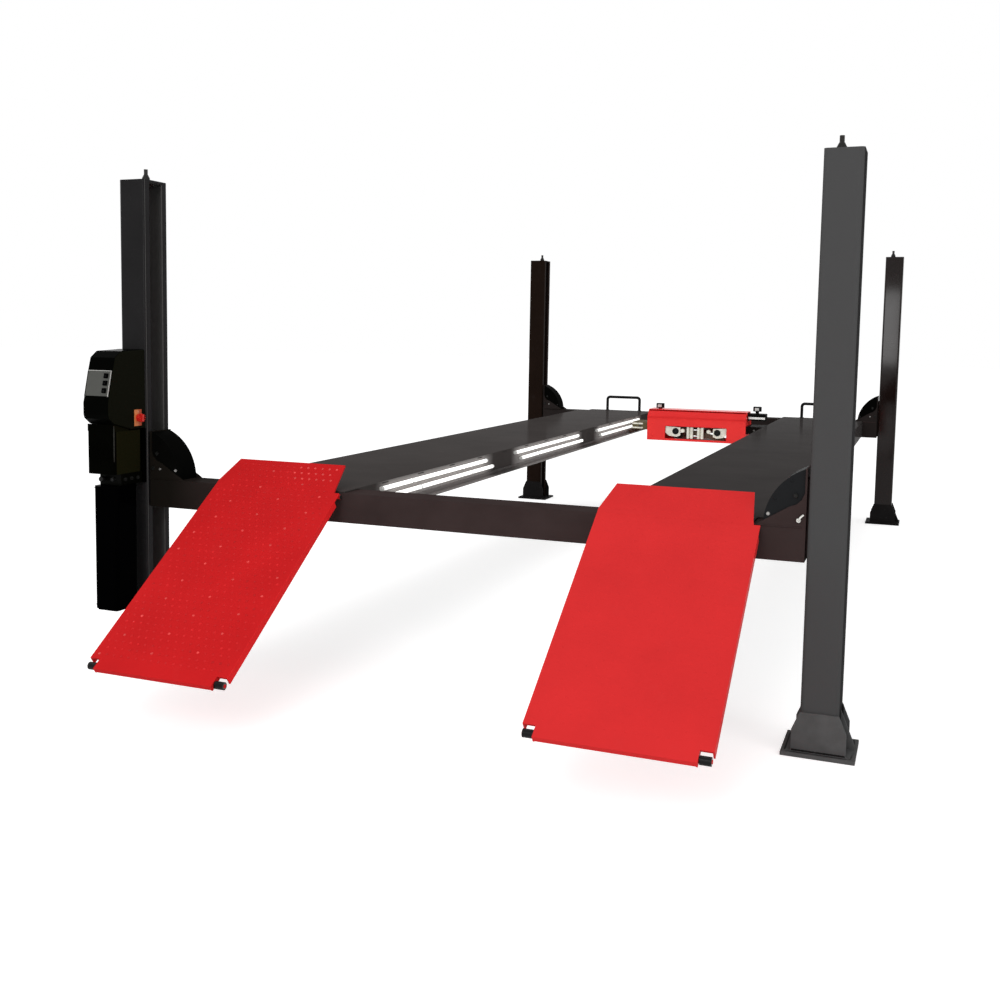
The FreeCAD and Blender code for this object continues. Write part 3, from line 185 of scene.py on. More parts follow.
# the material of each slot
LOOKS = {
    "post_paint": dict(colour=(0.0135, 0.013, 0.0135), rough=0.26, level=0.05, scratch=0.03, size=5.0,
                       spread=0.03, bump=0.03, zones=[PAINTED_LIGHT_INSIDE_GREY]),
    "base_paint": dict(colour=(0.013, 0.012, 0.012), scratch=0.1, size=14.0, ior=1.04),
    "zinc_steel": dict(colour=(0.56, 0.55, 0.52), rough=0.32, metal=0.9, grain=1400.0, size=40.0),
    "ladder_steel": dict(colour=(0.15, 0.147, 0.142), rough=0.5, scratch=0.4, size=18.0, grain=900.0),
    "unit_black": dict(colour=(0.0004, 0.0004, 0.0005), rough=0.2, ior=1.02, size=7.0, spread=0.03,
                       bump=0.03),
    "valve_metal": dict(colour=(0.0016, 0.0017, 0.0011), rough=0.35, grain=1100.0, size=30.0, ior=1.1),
    # painted light: the +X side faces of the motor and the console get a lighter olive colour
    "motor_black": dict(colour=(0.0013, 0.0014, 0.0009), rough=0.24, size=12.0, bump=0.02, spread=0.03,
                        ior=1.012, zones=[((0.0095, 0.0094, 0.0036), (("X", -1.5, 0.0125, 0.001),))]),
    "console_black": dict(colour=(0.0009, 0.001, 0.0007), rough=0.26, grain=1500.0, bump=0.05, spread=0.03,
                          ior=1.04, zones=[((0.0058, 0.0062, 0.0035), (("X", -1.5, 0.0075, 0.001),))]),
    "panel_grey": dict(colour=(0.076, 0.077, 0.07), rough=0.36, level=0.15, grain=2000.0, mottle=0.04,
                       size=20.0),
    "switch_yellow": dict(colour=(0.62, 0.2, 0.06), rough=0.35, level=0.3, mottle=0.06, size=25.0,
                          zones=[((0.42, 0.06, 0.012), (("Y", -3.0, 0.043, 0.012),))]),
    "switch_red": dict(colour=(0.6, 0.02, 0.014), rough=0.28, level=0.3, mottle=0.06, size=25.0),
    # painted shade: the front beam is coloured darker towards its left end
    "beam_paint": dict(colour=(0.042, 0.0285, 0.0275), rough=0.2, scratch=0.03, size=6.0, spread=0.03,
                       bump=0.02, ior=1.004, zones=[((0.009, 0.0075, 0.006), (("X", -1.6, 0.72, 0.5),))]),
    "nylon": dict(colour=(0.5, 0.48, 0.43), rough=0.5, level=0.3, size=30.0, grain=900.0),
    # painted sheen: the front right guard is coloured lighter and bluish
    "guard_black": dict(colour=(0.0025, 0.0025, 0.0022), rough=0.24, size=10.0, spread=0.03, ior=1.012,
                        zones=[((0.0165, 0.0175, 0.0185), PAINTED_SHEEN_FRONT_RIGHT_GUARD)]),
    # painted light around the right runway's light tubes on its side plate
    "runway_paint": dict(colour=(0.042, 0.038, 0.037), rough=0.14, mottle=0.08, scratch=0.04, size=3.0,
                         bump=0.008, spread=0.02, ior=1.0035, zones=painted_tube_light(INNER_SIDES[1])),
    # painted light: the rail is lighter where the light tubes shine on it
    "rail_paint": dict(colour=(0.05, 0.045, 0.043), level=0.05, scratch=0.2,
                       zones=[((0.17, 0.155, 0.15), (stretch,)) for stretch in PAINTED_TUBE_LIGHT_SPANS]),
    "lamp_white": dict(colour=(0.9, 0.9, 0.88), rough=0.25, mottle=0.02, size=30.0, glow=1.1,
                       zones=[((0.3, 0.28, 0.27), (("X", x, 0.0062, 0.0003),)) for x in INNER_SIDES]),
    "stop_black": dict(colour=(0.005, 0.005, 0.0052), rough=0.3, level=0.12, size=20.0),
    "ramp_red": dict(colour=(0.558, 0.0138, 0.0155), rough=0.34, mottle=0.05, scratch=0.02, size=5.0,
                     spread=0.04, bump=0.04, ior=1.06),
    "roller_black": dict(colour=(0.0035, 0.0035, 0.004), rough=0.35, level=0.12, size=40.0, grain=1200.0),
    "jack_red": dict(colour=(0.95, 0.05, 0.048), rough=0.2, mottle=0.04, scratch=0.02, spread=0.03,
                     bump=0.02, ior=1.01),
    "link_cream": dict(colour=(0.9, 0.87, 0.76), rough=0.35, level=0.3, mottle=0.14, scratch=0.2,
                       size=22.0),
    "carriage_paint": dict(colour=(0.0075, 0.006, 0.0055), rough=0.36, ior=1.02, size=18.0,
                           zones=[((0.075, 0.04, 0.03), (LEFT_CARRIAGE,)),
                                  ((0.13, 0.11, 0.06), (LEFT_CARRIAGE, ("Z", 0.85, 0.067, 0.001)))]),
    "arm_steel": dict(colour=(0.007, 0.007, 0.0068), rough=0.3, ior=1.02, scratch=0.06, size=16.0,
                      grain=1200.0),
    "pad_rubber": dict(colour=(0.005, 0.005, 0.005), rough=0.55, level=0.1, size=40.0, grain=700.0,
                       bump=0.2),
    "button_black": dict(colour=(0.0015, 0.0015, 0.0016), rough=0.32, ior=1.03, size=60.0, grain=2000.0),
}
MATERIALS = {slot: material(slot, **look) for slot, look in LOOKS.items()}

# painted light and shade: lighter and darker copies of the paints, different from post to post and from ramp
# to ramp, and on beams, runway and jack
NODE_LOOKS = {
    "cable_anchor_studs": material("stud_steel", (0.022, 0.021, 0.02), 0.36, level=0.1, size=40.0,
                                   grain=1400.0),
    # painted light: the front right post's front face is coloured lighter
    "post_front_right": material("post_paint_lit_front", (0.0135, 0.013, 0.0135), 0.3, size=4.0, spread=0.03,
                                 bump=0.02, scratch=0.03, ior=1.004,
                                 zones=[PAINTED_LIGHT_INSIDE_GREY, ((0.068, 0.068, 0.0685), (("Y", -3.0, 0.024, 0.004),))]),
    # painted light: a much lighter copy of the base paint on the front right base plate
    "base_plate_front_right": material("base_paint_lit_near", (0.092, 0.092, 0.092), 0.36, scratch=0.06,
                                       size=14.0, ior=1.01),
    # painted shade: darker, brownish copies of the post paint on the rear posts
    "post_rear_left": material("post_paint_shaded_rear_left", (0.0135, 0.0078, 0.0057), 0.3, scratch=0.03, size=5.0,
                               spread=0.03, bump=0.02, ior=1.05, zones=[PAINTED_LIGHT_INSIDE_BROWN]),
    "post_rear_right": material("post_paint_shaded_rear_right", (0.0078, 0.0034, 0.0026), 0.07, level=0.19,
                                scratch=0.01, size=5.0, spread=0.006, bump=0.004, zones=[PAINTED_LIGHT_INSIDE_BROWN]),
    # painted shade: a darker copy of the beam paint on the rear crossbeam
    "crossbeam_rear": material("beam_paint_shaded_far", (0.023, 0.0185, 0.0175), 0.2, scratch=0.03, size=6.0,
                               spread=0.03, bump=0.02, ior=1.004),
    # painted shade: a darker copy of the jack's red on its upper beam
    "jack_beam": material("jack_red_shaded_beam", (0.8, 0.033, 0.033), 0.16, mottle=0.03, scratch=0.01,
                          spread=0.02, bump=0.01, ior=1.09),
    # painted shade: a dark olive copy of the links' cream for the links in the jack's shaded window
    "jack_scissor_links": material("link_cream_shaded", (0.16, 0.12, 0.08), level=0.2, scratch=0.2, size=22.0),
    # painted light: a lighter copy of the runway paint, with painted glow around the left runway's light
    # tubes
    "runway_left": material("runway_paint_lit_left", (0.055, 0.0485, 0.0465), 0.14, mottle=0.08, scratch=0.04,
                            size=3.0, bump=0.008, spread=0.02, ior=1.0035,
                            zones=painted_tube_light(INNER_SIDES[0])),
    # painted light: the left ramp's shaded right side is coloured lighter red
    "ramp_left": material("ramp_red_lit_side", (0.558, 0.0138, 0.0155), 0.34, mottle=0.05, scratch=0.02,
                          size=5.0, spread=0.04, bump=0.04, ior=1.06,
                          zones=[((0.78, 0.02, 0.022), (("X", -0.4, 0.0592, 0.0004),))]),
    # painted light: a lighter copy of the ramp red on the right ramp
    "ramp_right": material("ramp_red_lit_right", (0.65, 0.0285, 0.0295), 0.36, mottle=0.04, scratch=0.02,
                           size=5.0, spread=0.03, bump=0.04, ior=1.06),
}
# painted highlights: lighter reds for the left ramp's studs, the brightest for its tail's right part and
# scattered studs
STUD_RED = material("ramp_stud_red", (0.585, 0.019, 0.021), 0.28, mottle=0.2, size=12.0, ior=1.08)
STUD_HIGHLIGHT = material("ramp_stud_highlight", (0.72, 0.055, 0.052), 0.24, mottle=0.25, size=14.0, ior=1.25)
# painted highlights: a light grey for strips along two edges of the console panel
PANEL_EDGE_HIGHLIGHT = material("panel_edge_highlight", (0.42, 0.42, 0.4), mottle=0.05, size=60.0)
# painted highlight: a lighter grey for a strip along the motor's corner
MOTOR_EDGE_HIGHLIGHT = material("motor_edge_highlight", (0.03, 0.03, 0.027), mottle=0.3, size=40.0, ior=1.05)
STEEL = material("bright_steel", (0.62, 0.62, 0.6), 0.22, 0.95, size=50.0, grain=1500.0)
DARK_STEEL = material("dark_steel", (0.06, 0.058, 0.055), 0.34, 0.8, size=50.0, grain=1500.0)
DULL_ZINC = material("dull_zinc", (0.3, 0.29, 0.28), 0.4, 0.6, size=50.0, grain=1500.0)
BLACK_SCREW = material("black_screw", (0.006, 0.006, 0.0055), 0.35, level=0.15, size=60.0, grain=1500.0)
BUTTON_MARK = material("button_mark", (0.009, 0.009, 0.009), size=80.0, ior=1.05)
MARK = material("mark_white", (0.6, 0.6, 0.58), 0.45, size=80.0, grain=2500.0)

slot_of = {s["node"]: s["material_slot"] for s in frame["record"]["subparts"]}
for name, obj in nodes.items():
    obj.data.materials.clear()
    obj.data.materials.append(NODE_LOOKS.get(name) or MATERIALS[slot_of[name]])


# ---------------- mesh making
class Shape:
    """Points and faces of one piece, put together from turned, chamfered and swept forms."""

    def __init__(self, placing=None):
        self.points = []
        self.faces = []
        self.placing = placing

    def add(self, points, faces):
        first = len(self.points)
        if self.placing is not None:
            points = [self.placing @ Vector(p) for p in points]
        self.points += [tuple(p) for p in points]
        self.faces += [tuple(first + i for i in f) for f in faces]

    def turned(self, at, axis, profile, sides=20):
        """Rings about an axis; profile is a list of (radius, distance along the axis)."""
        z = Vector(axis).normalized()
        x = z.orthogonal().normalized()
        y = z.cross(x)
        points = []
        for radius, along in profile:
            for k in range(sides):
                a = math.tau * k / sides
                points.append(Vector(at) + z * along + (x * math.cos(a) + y * math.sin(a)) * radius)
        rings = len(profile)
        faces = [tuple(range(sides)), tuple(range((rings - 1) * sides, rings * sides))]
        for j in range(rings - 1):
            for k in range(sides):
                n = (k + 1) % sides
                faces.append((j * sides + k, j * sides + n, (j + 1) * sides + n, (j + 1) * sides + k))
        self.add(points, faces)

    def bolt(self, at, axis, size):
        """A hexagon head on a washer; at is the face that it stands on."""
        washer = size * 0.16
        wide = size * 1.08
        self.turned(at, axis, [(wide * 0.97, -0.0005), (wide, washer * 0.5), (wide * 0.95, washer)], 24)
        r = size * 0.9
        top = washer + size * 0.66
        self.turned(at, axis, [(r, washer - 0.0002), (r, top * 0.82 + washer * 0.18), (r * 0.84, top)], 6)
        self.turned(at, axis, [(r * 0.8, top - 0.0002), (r * 0.78, top + size * 0.03)], 18)

    def block(self, low, high, cut=0.0015):
        """A box between two corners with all its edges cut."""
        low, high = Vector(low), Vector(high)
        points, index = [], {}
        for s in range(8):
            signs = [(s >> k) & 1 for k in range(3)]
            for k in range(3):
                p = []
                for j in range(3):
                    inset = 0.0 if j == k else cut
                    p.append(high[j] - inset if signs[j] else low[j] + inset)
                index[(s, k)] = len(points)
                points.append(p)
        faces = []
        for k in range(3):
            i, j = (k + 1) % 3, (k + 2) % 3
            for side in (0, 1):
                ring = [(0, 0), (1, 0), (1, 1), (0, 1)]
                faces.append(tuple(index[((side << k) | (a << i) | (b << j), k)] for a, b in ring))
            for a in (0, 1):
                for b in (0, 1):
                    s0 = (a << i) | (b << j)
                    s1 = s0 | (1 << k)
                    faces.append((index[(s0, i)], index[(s0, j)], index[(s1, j)], index[(s1, i)]))
        for s in range(8):
            faces.append((index[(s, 0)], index[(s, 1)], index[(s, 2)]))
        self.add(points, faces)

    def prism(self, near, far):
        """A solid between two outlines that have the same number of points."""
        n = len(near)
        faces = [tuple(range(n)), tuple(range(n, 2 * n))]
        faces += [(k, (k + 1) % n, (k + 1) % n + n, k + n) for k in range(n)]
        self.add(near + far, faces)

    def swept(self, path, radius, sides=8, closed=False):
        """A round bar along points; radius may be one number or a list."""
        path = [Vector(p) for p in path]
        count = len(path)
        points = []
        up = None
        for n, p in enumerate(path):
            before = path[n - 1] if n or closed else p
            after = path[(n + 1) % count] if n < count - 1 or closed else p
            along = (after - before).normalized()
            if up is None:
                up = along.orthogonal().normalized()
            up = (up - along * up.dot(along)).normalized()
            side = along.cross(up)
            r = radius[n] if isinstance(radius, list) else radius
            for k in range(sides):
                a = math.tau * k / sides
                points.append(p + (up * math.cos(a) + side * math.sin(a)) * r)
        faces = []
        for j in range(count if closed else count - 1):
            m = (j + 1) % count
            for k in range(sides):
                n = (k + 1) % sides
                faces.append((j * sides + k, j * sides + n, m * sides + n, m * sides + k))
        if not closed:
            faces += [tuple(range(sides)), tuple(range((count - 1) * sides, count * sides))]
        self.add(points, faces)

    def weld(self, start, end, size, step=0.0035):
        """A rippled weld bead on a straight line."""
        start, end = Vector(start), Vector(end)
        count = max(4, int((end - start).length / step))
        path = [start.lerp(end, i / count) for i in range(count + 1)]
        radius = [size * (1.0 + 0.12 * (i % 2) + 0.1 * math.sin(i * 1.7)) for i in range(count + 1)]
        radius[0] = radius[-1] = size * 0.5
        self.swept(path, radius, 7)


def thread(radius, start, end, pitch):
    """Profile of a threaded stud as rings of ridges."""
    rows = []
    count = max(2, int((end - start) / pitch))
    for i in range(count):
        z = start + (end - start) * i / count
        rows += [(radius * 0.93, z), (radius, z + pitch * 0.5)]
    rows += [(radius * 0.93, end), (radius * 0.8, end + pitch * 0.3)]
    return rows


def circle(at, radius, count, plane):
    """Points of a circle; plane gives the numbers of its two axes."""
    points = []
    for k in range(count):
        a = math.tau * k / count
        p = list(at)
        p[plane[0]] += radius * math.cos(a)
        p[plane[1]] += radius * math.sin(a)
        points.append(p)
    return points


XY, XZ = (0, 1), (0, 2)
SHARP_ANGLE = math.radians(32.0)     # from here on an edge of a piece stays sharp
ROUNDED_ANGLE = math.radians(38.0)   # from here on an edge of a solid part is rounded


def piece(name, shape, body, slot, look=None):
    """One object from a shape; it rides on its body and has its slot's material or a look of its own."""
    mesh = bpy.data.meshes.new(name)
    mesh.from_pydata(shape.points, [], shape.faces)
    b = bmesh.new()
    b.from_mesh(mesh)
    bmesh.ops.recalc_face_normals(b, faces=b.faces)
    b.to_mesh(mesh)
    b.free()
    mesh.shade_smooth()
    mesh.set_sharp_from_angle(angle=SHARP_ANGLE)
    obj = bpy.data.objects.new(name, mesh)
    bpy.context.scene.collection.objects.link(obj)
    mesh.materials.append(look or MATERIALS[slot])
    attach(obj, body)


def soften(obj, width):
    """Rounds the hard edges of a piece without changing its mesh."""
    weld = obj.modifiers.new("join_points", "WELD")
    weld.merge_threshold = 0.00002
    bevel = obj.modifiers.new("round_edges", "BEVEL")
    bevel.width = width
    bevel.segments = 2
    bevel.limit_method = "ANGLE"
    bevel.angle_limit = ROUNDED_ANGLE
    bevel.use_clamp_overlap = True
    bevel.harden_normals = True


# ---------------- rounded edges of the solid parts
ROUNDED = {
    0.001: "main_switch_plate",
    0.0012: "console_panel",
    0.0015: "ramp_left ramp_right base_plate_front_left base_plate_front_right base_plate_rear_left "
            "base_plate_rear_right",
    0.002: "jack_scissor_links jack_carriages button_raise button_lower button_lock power_unit_bracket "
           "post_front_left post_front_right post_rear_left post_rear_right",
    0.0025: "jack_pad_left jack_pad_right",
    0.003: "runway_left runway_right jack_beam valve_block",
    0.004: "crossbeam_front crossbeam_rear jack_base electric_motor jack_arm_left jack_arm_right",
    0.006: "control_console oil_tank",
}
for width, names in ROUNDED.items():
    for name in names.split():
        soften(nodes[name], width)

# ---------------- posts: welds at the foot, thread and cone of the studs
welds = Shape()
studs = Shape()
cones = Shape()
for sx in BOTH:
    for sy in BOTH:
        x, y = sx * POST_X, sy * POST_Y
        inner, outer = x - sx * POST_SIDE, x + sx * POST_SIDE
        for k in BOTH:
            welds.weld((x - 0.097, y + k * 0.0955, FOOT_Z), (x + 0.097, y + k * 0.0955, FOOT_Z), 0.004)
            welds.weld((inner, y + k * 0.05, FOOT_Z), (inner, y + k * 0.084, FOOT_Z), 0.0035)
            for j in BOTH:
                edge_x, edge_y = x + j * 0.0735, y + k * 0.0852
                welds.weld((edge_x, edge_y, 0.02), (edge_x, edge_y, 0.16), 0.0025)
        welds.weld((outer, y - 0.07, FOOT_Z), (outer, y + 0.07, FOOT_Z), 0.0035)
        studs.turned((sx * STUD_X, y, 0.0), (0, 0, 1), thread(0.0094, 2.271, 2.3035, 0.0022), 16)
        cones.turned((sx * STUD_X, y, 2.266), (0, 0, 1),
                     [(0.0168, -0.0006), (0.0164, 0.002), (0.0105, 0.0135), (0.0094, 0.0145)], 24)
piece("post_foot_welds", welds, "lift_frame", "base_paint")
piece("stud_threads", studs, "lift_frame", "zinc_steel", DARK_STEEL)
piece("stud_cone_nuts", cones, "lift_frame", "zinc_steel", NODE_LOOKS["cable_anchor_studs"])

# ---------------- crossbeams: bolts of the end plates, welds, guard rivets
RIVET = [(0.006, -0.0005), (0.0058, 0.001), (0.0042, 0.0026), (0.0018, 0.0034)]
RIVET_CIRCLE = 0.222
END_PLATE_HALF, GUARD_HALF = 0.075, 0.067
bright_bolts = Shape()
dark_bolts = Shape()
rivets = Shape()
beam_welds = Shape()
for sy in BOTH:
    for sx in BOTH:
        for face in BOTH:
            y = sy * POST_Y + face * END_PLATE_HALF
            guard_y = sy * POST_Y + face * GUARD_HALF
            way = (0, face, 0)
            dark_bolts.bolt((sx * 1.45, y, 0.981), way, 0.009)
            if (sx, sy) != (1, -1):  # there the lock release lever takes their place
                dark_bolts.bolt((sx * 1.473, y, 0.912), way, 0.009)
                bright_bolts.bolt((sx * 1.433, y, 0.909), way, 0.005)
            guard_bolts = bright_bolts if sy < 0 else dark_bolts
            guard_bolts.bolt((sx * 1.351, guard_y, 0.905), way, 0.0065)
            bead_y = y + face * 0.0005
            beam_welds.weld((sx * 1.31, bead_y, 0.8615), (sx * 1.478, bead_y, 0.8615), 0.0028)
            for degrees in (14, 38, 62, 84):
                a = math.radians(degrees)
                rivet_x = POST_X - RIVET_CIRCLE * math.sin(a)
                if 1.34 < rivet_x < 1.475:
                    rivet_z = BEAM_TOP + RIVET_CIRCLE * math.cos(a)
                    rivets.turned((sx * rivet_x, guard_y, rivet_z), way, RIVET, 16)
piece("end_plate_bolts", bright_bolts, "platform", "zinc_steel", DULL_ZINC)
piece("end_plate_screws", dark_bolts, "platform", "guard_black", BLACK_SCREW)
piece("guard_rivets", rivets, "platform", "guard_black")
piece("end_plate_welds", beam_welds, "platform", "beam_paint")

lever = Shape()
lever.swept([(1.463, -2.977, 0.886), (1.465, -2.982, 0.89), (1.47, -2.983, 0.9), (1.478, -2.983, 0.908),
             (1.482, -2.982, 0.911)], 0.0042, 10)
lever.turned((1.464, -2.975, 0.888), (0, -1, 0), [(0.009, -0.0005), (0.009, 0.004), (0.007, 0.006)])
piece("lock_release_lever", lever, "platform", "zinc_steel")

# ---------------- runways: caps and clips of the light tubes
CAP = [(0.0085, -0.0015), (0.0106, 0.0), (0.0109, 0.003), (0.0109, 0.014), (0.0103, 0.015)]
CLIP_R = 0.0112
caps = Shape()
clips = Shape()
for x, out in TUBES:
    for z, starts in ((0.838, UPPER_TUBES), (0.795, LOWER_TUBES)):
        for y in starts:
            for at, along in ((y, 1), (y + TUBE_LENGTH, -1)):
                caps.turned((x, at, z), (0, along, 0), CAP)
            for share in (0.25, 0.75):
                middle = y + TUBE_LENGTH * share
                for shift in (-0.003, 0.0, 0.003):
                    turns = [math.radians(-115 + 230 * k / 8) for k in range(9)]
                    clips.swept([(x + out * CLIP_R * math.cos(a), middle + shift, z + CLIP_R * math.sin(a))
                                 for a in turns], 0.0014, 6)
piece("lamp_end_caps", caps, "platform", "lamp_white", MARK)
piece("lamp_clips", clips, "platform", "lamp_white", MARK)

# ---------------- runways: bolts at the deck's rear end, hoop feet, seams
DOME = [(0.011, -0.0004), (0.0108, 0.0012), (0.0075, 0.0034), (0.0034, 0.0042)]
deck_bolts = Shape()
hoop_welds = Shape()
for low, high in DECK_ENDS:
    for k in range(4):
        x = low + 0.06 + (high - low - 0.12) * k / 3
        deck_bolts.turned((x, POST_Y, 0.868), (0, 0, 1), DOME)
for x in HOOP_FEET:
    ripple = [0.0034 + 0.0006 * (k % 2) for k in range(20)]
    hoop_welds.swept(circle((x, HOOP_Y, 0.8692), 0.0145, 20, XY), ripple, 7, closed=True)
piece("deck_lip_bolts", deck_bolts, "platform", "runway_paint", DARK_STEEL)
piece("hoop_welds", hoop_welds, "platform", "stop_black")

side_welds = Shape()
for sides in RUNWAYS:
    for face, x in zip(BOTH, sides):
        bead_x = x + face * 0.0004
        for k in range(-26, 28, 4):
            side_welds.weld((bead_x, k * 0.1, SEAM_Z), (bead_x, k * 0.1 + 0.07, SEAM_Z), 0.002, 0.004)
piece("runway_seam_welds", side_welds, "platform", "runway_paint")

# ---------------- ramps: pressed studs, ends of pins and rollers
SLOPE = math.radians(34.7)
TAIL_BEND = math.tan(math.radians(3.0))
HINGE = Vector((0.0, -2.993, 0.846))
UP = Vector((0.0, -math.sin(SLOPE), math.cos(SLOPE)))
RAMP_X = {"left": -0.7745, "right": 1.0145}
TREAD_START, TREAD_END, TREAD_PITCH = -1.008, 0.15, 0.0345   # along the ramp, from the hinge
TREAD_RISE = 0.031                          # the ramp's upper face above the hinge
RAMP_ROW, TAIL_ROW = (0.297, 17), (0.254, 14)  # half width of a row and its studs
TAIL_FROM = -0.02


def on_ramp(x, along, up):
    """A point in a ramp's own frame, at rest."""
    c, s = math.cos(SLOPE), math.sin(SLOPE)
    return (x, HINGE.y + along * c - up * s, HINGE.z + along * s + up * c)


for side, height, wide in (("left", 0.0019, 0.0062), ("right", 0.0006, 0.005)):
    x = RAMP_X[side]
    body = "approach_ramp_" + side
    stud = [(wide, -0.0006), (wide * 0.86, height * 0.6), (wide * 0.45, height)]
    tread = Shape()
    rubbed_and_highlit = Shape()
    row = 0
    along = TREAD_START
    while along < TREAD_END:
        half, count = RAMP_ROW if along < TAIL_FROM else TAIL_ROW
        rise = TREAD_RISE + max(0.0, along) * TAIL_BEND
        for k in range(count):
            across = 2.0 * half * (k + 0.25 + 0.5 * (row % 2)) / count - half
            # painted highlights: studs on the right part of the left ramp's tail, and some scattered ones,
            # get the brightest red
            highlit = side == "left" and ((along > 0.03 and across > 0.03) or (row * 7 + k * 13) % 17 == 0)
            (rubbed_and_highlit if highlit else tread).turned(on_ramp(x + across, along, rise), UP, stud, 10)
        along += TREAD_PITCH
        row += 1
    own = nodes["ramp_" + side].data.materials[0]
    piece("ramp_tread_" + side, tread, body, "ramp_red", STUD_RED if side == "left" else own)
    if rubbed_and_highlit.points:
        piece("ramp_tread_highlit", rubbed_and_highlit, body, "ramp_red", STUD_HIGHLIGHT)
    pins = Shape()
    hubs = Shape()
    for k in BOTH:
        pins.turned((x + k * 0.3105, HINGE.y, HINGE.z), (k, 0, 0),
                    [(0.0098, -0.0005), (0.0096, 0.0008), (0.0075, 0.0016)], 24)
        hubs.turned(on_ramp(x + k * 0.3103, -1.057, 0.013), (k, 0, 0),
                    [(0.0125, -0.0006), (0.012, 0.0006), (0.0085, 0.001)], 24)
    piece("ramp_pin_ends_" + side, pins, body, "ramp_red", DARK_STEEL)
    piece("ramp_roller_hubs_" + side, hubs, "ramp_rollers_" + side, "roller_black", DARK_STEEL)

# ---------------- jack: window fittings, rollers, screws, welds
WINDOW_ROLLERS = (-0.046, 0.297)
works = Shape()
for low, high in ((0.047, 0.097), (0.133, 0.183)):
    works.block((low, 1.975, 0.722), (low + 0.019, 2.012, 0.8185), 0.003)
    works.block((high - 0.019, 1.975, 0.722), (high, 2.012, 0.8185), 0.003)
    works.block((low, 2.0, 0.724), (high, 2.016, 0.817), 0.002)
for side, outer, inner in ((-1, -0.13, -0.008), (1, 0.37, 0.262)):
    cheek = [(outer, 0.8185), (inner, 0.812), (inner, 0.745), (inner + side * 0.03, 0.733),
             (outer - side * 0.03, 0.74), (outer, 0.765)]
    works.prism([(x, 1.982, z) for x, z in cheek], [(x, 1.994, z) for x, z in cheek])
for x in (0.01, 0.225):
    works.turned((x, 1.98, 0.785), (0, 1, 0),
                 [(0.012, 0.0), (0.017, 0.004), (0.017, 0.04), (0.012, 0.044)], 24)
piece("jack_window_fittings", works, "jack", "link_cream")
wheels = Shape()
wheel_screws = Shape()
for x in WINDOW_ROLLERS:
    wheels.turned((x, 1.973, 0.78), (0, 1, 0),
                  [(0.012, 0.0), (0.022, 0.001), (0.0265, 0.004), (0.0265, 0.01), (0.024, 0.012)], 28)
    wheel_screws.bolt((x, 1.974, 0.78), (0, -1, 0), 0.0035)
piece("jack_window_rollers", wheels, "jack", "carriage_paint", MATERIALS["roller_black"])
piece("jack_roller_screws", wheel_screws, "jack", "carriage_paint", DARK_STEEL)
screws = Shape()
for x in (-0.24, 0.48):
    for z in (0.74, 0.84):
        for y, face in JACK_FACES:
            screws.turned((x, y, z), (0, face, 0), [(0.0085, -0.0004), (0.008, 0.0015), (0.004, 0.0036)])
piece("jack_screws", screws, "jack", "jack_red")
jack_welds = Shape()
for y, face in JACK_FACES:
    bead_y = y + face * 0.0003
    jack_welds.weld((-0.28, bead_y, 0.8802), (0.52, bead_y, 0.8802), 0.0022, 0.004)
piece("jack_seam_welds", jack_welds, "jack", "jack_red")
axle_ends = Shape()
for x in (-0.3505, 0.5905):
    for y, face in ((1.988, -1), (2.252, 1)):
        axle_ends.bolt((x, y, 0.812), (0, face, 0), 0.009)
piece("carriage_bolts", axle_ends, "jack", "carriage_paint", DARK_STEEL)
strips = Shape()
for y in (1.986, 2.251):
    for z in (0.789, 0.824):
        strips.block((-0.4155, y, z), (-0.3255, y + 0.003, z + 0.012), 0.0008)
piece("carriage_strips", strips, "jack", "link_cream")

# ---------------- jack: bright steel strips on the arms as painted highlights, fittings and ribs of the pads
for side, x, low, high in (("left", -0.21, -0.281, -0.1), ("right", 0.593, 0.53, 0.664)):
    # painted highlight: bright steel strips along the arms where their top catches the light
    trim = Shape()
    for near, far in ((2.0628, 2.0652), (2.1748, 2.1772)):
        trim.block((low, near, 0.899), (high, far, 0.916), 0.0008)
    piece("arm_highlight_strip_" + side, trim, "arm_" + side, "arm_steel", STEEL)
    cup = Shape()
    cup.turned((x, JACK_Y, 0.9602), (0, 0, 1), [(0.02, 0.0), (0.022, 0.001), (0.022, 0.0048)], 6)
    cup.turned((x, JACK_Y, 0.9988), (0, 0, 1), [(0.015, -0.002), (0.015, 0.0004), (0.012, 0.0009)], 24)
    for face in BOTH:
        middle = JACK_Y + face * 0.0325
        cup.block((x - 0.0165, middle - 0.004, 0.968), (x + 0.0165, middle + 0.004, 0.99))
    piece("pad_fittings_" + side, cup, "arm_" + side, "pad_rubber", MARK)
    ribs = Shape()
    for r in (0.0195, 0.0255, 0.0312):
        ribs.swept(circle((x, JACK_Y, 0.9986), r, 36, XY), 0.0012, 6, closed=True)
    piece("pad_ribs_" + side, ribs, "arm_" + side, "pad_rubber")

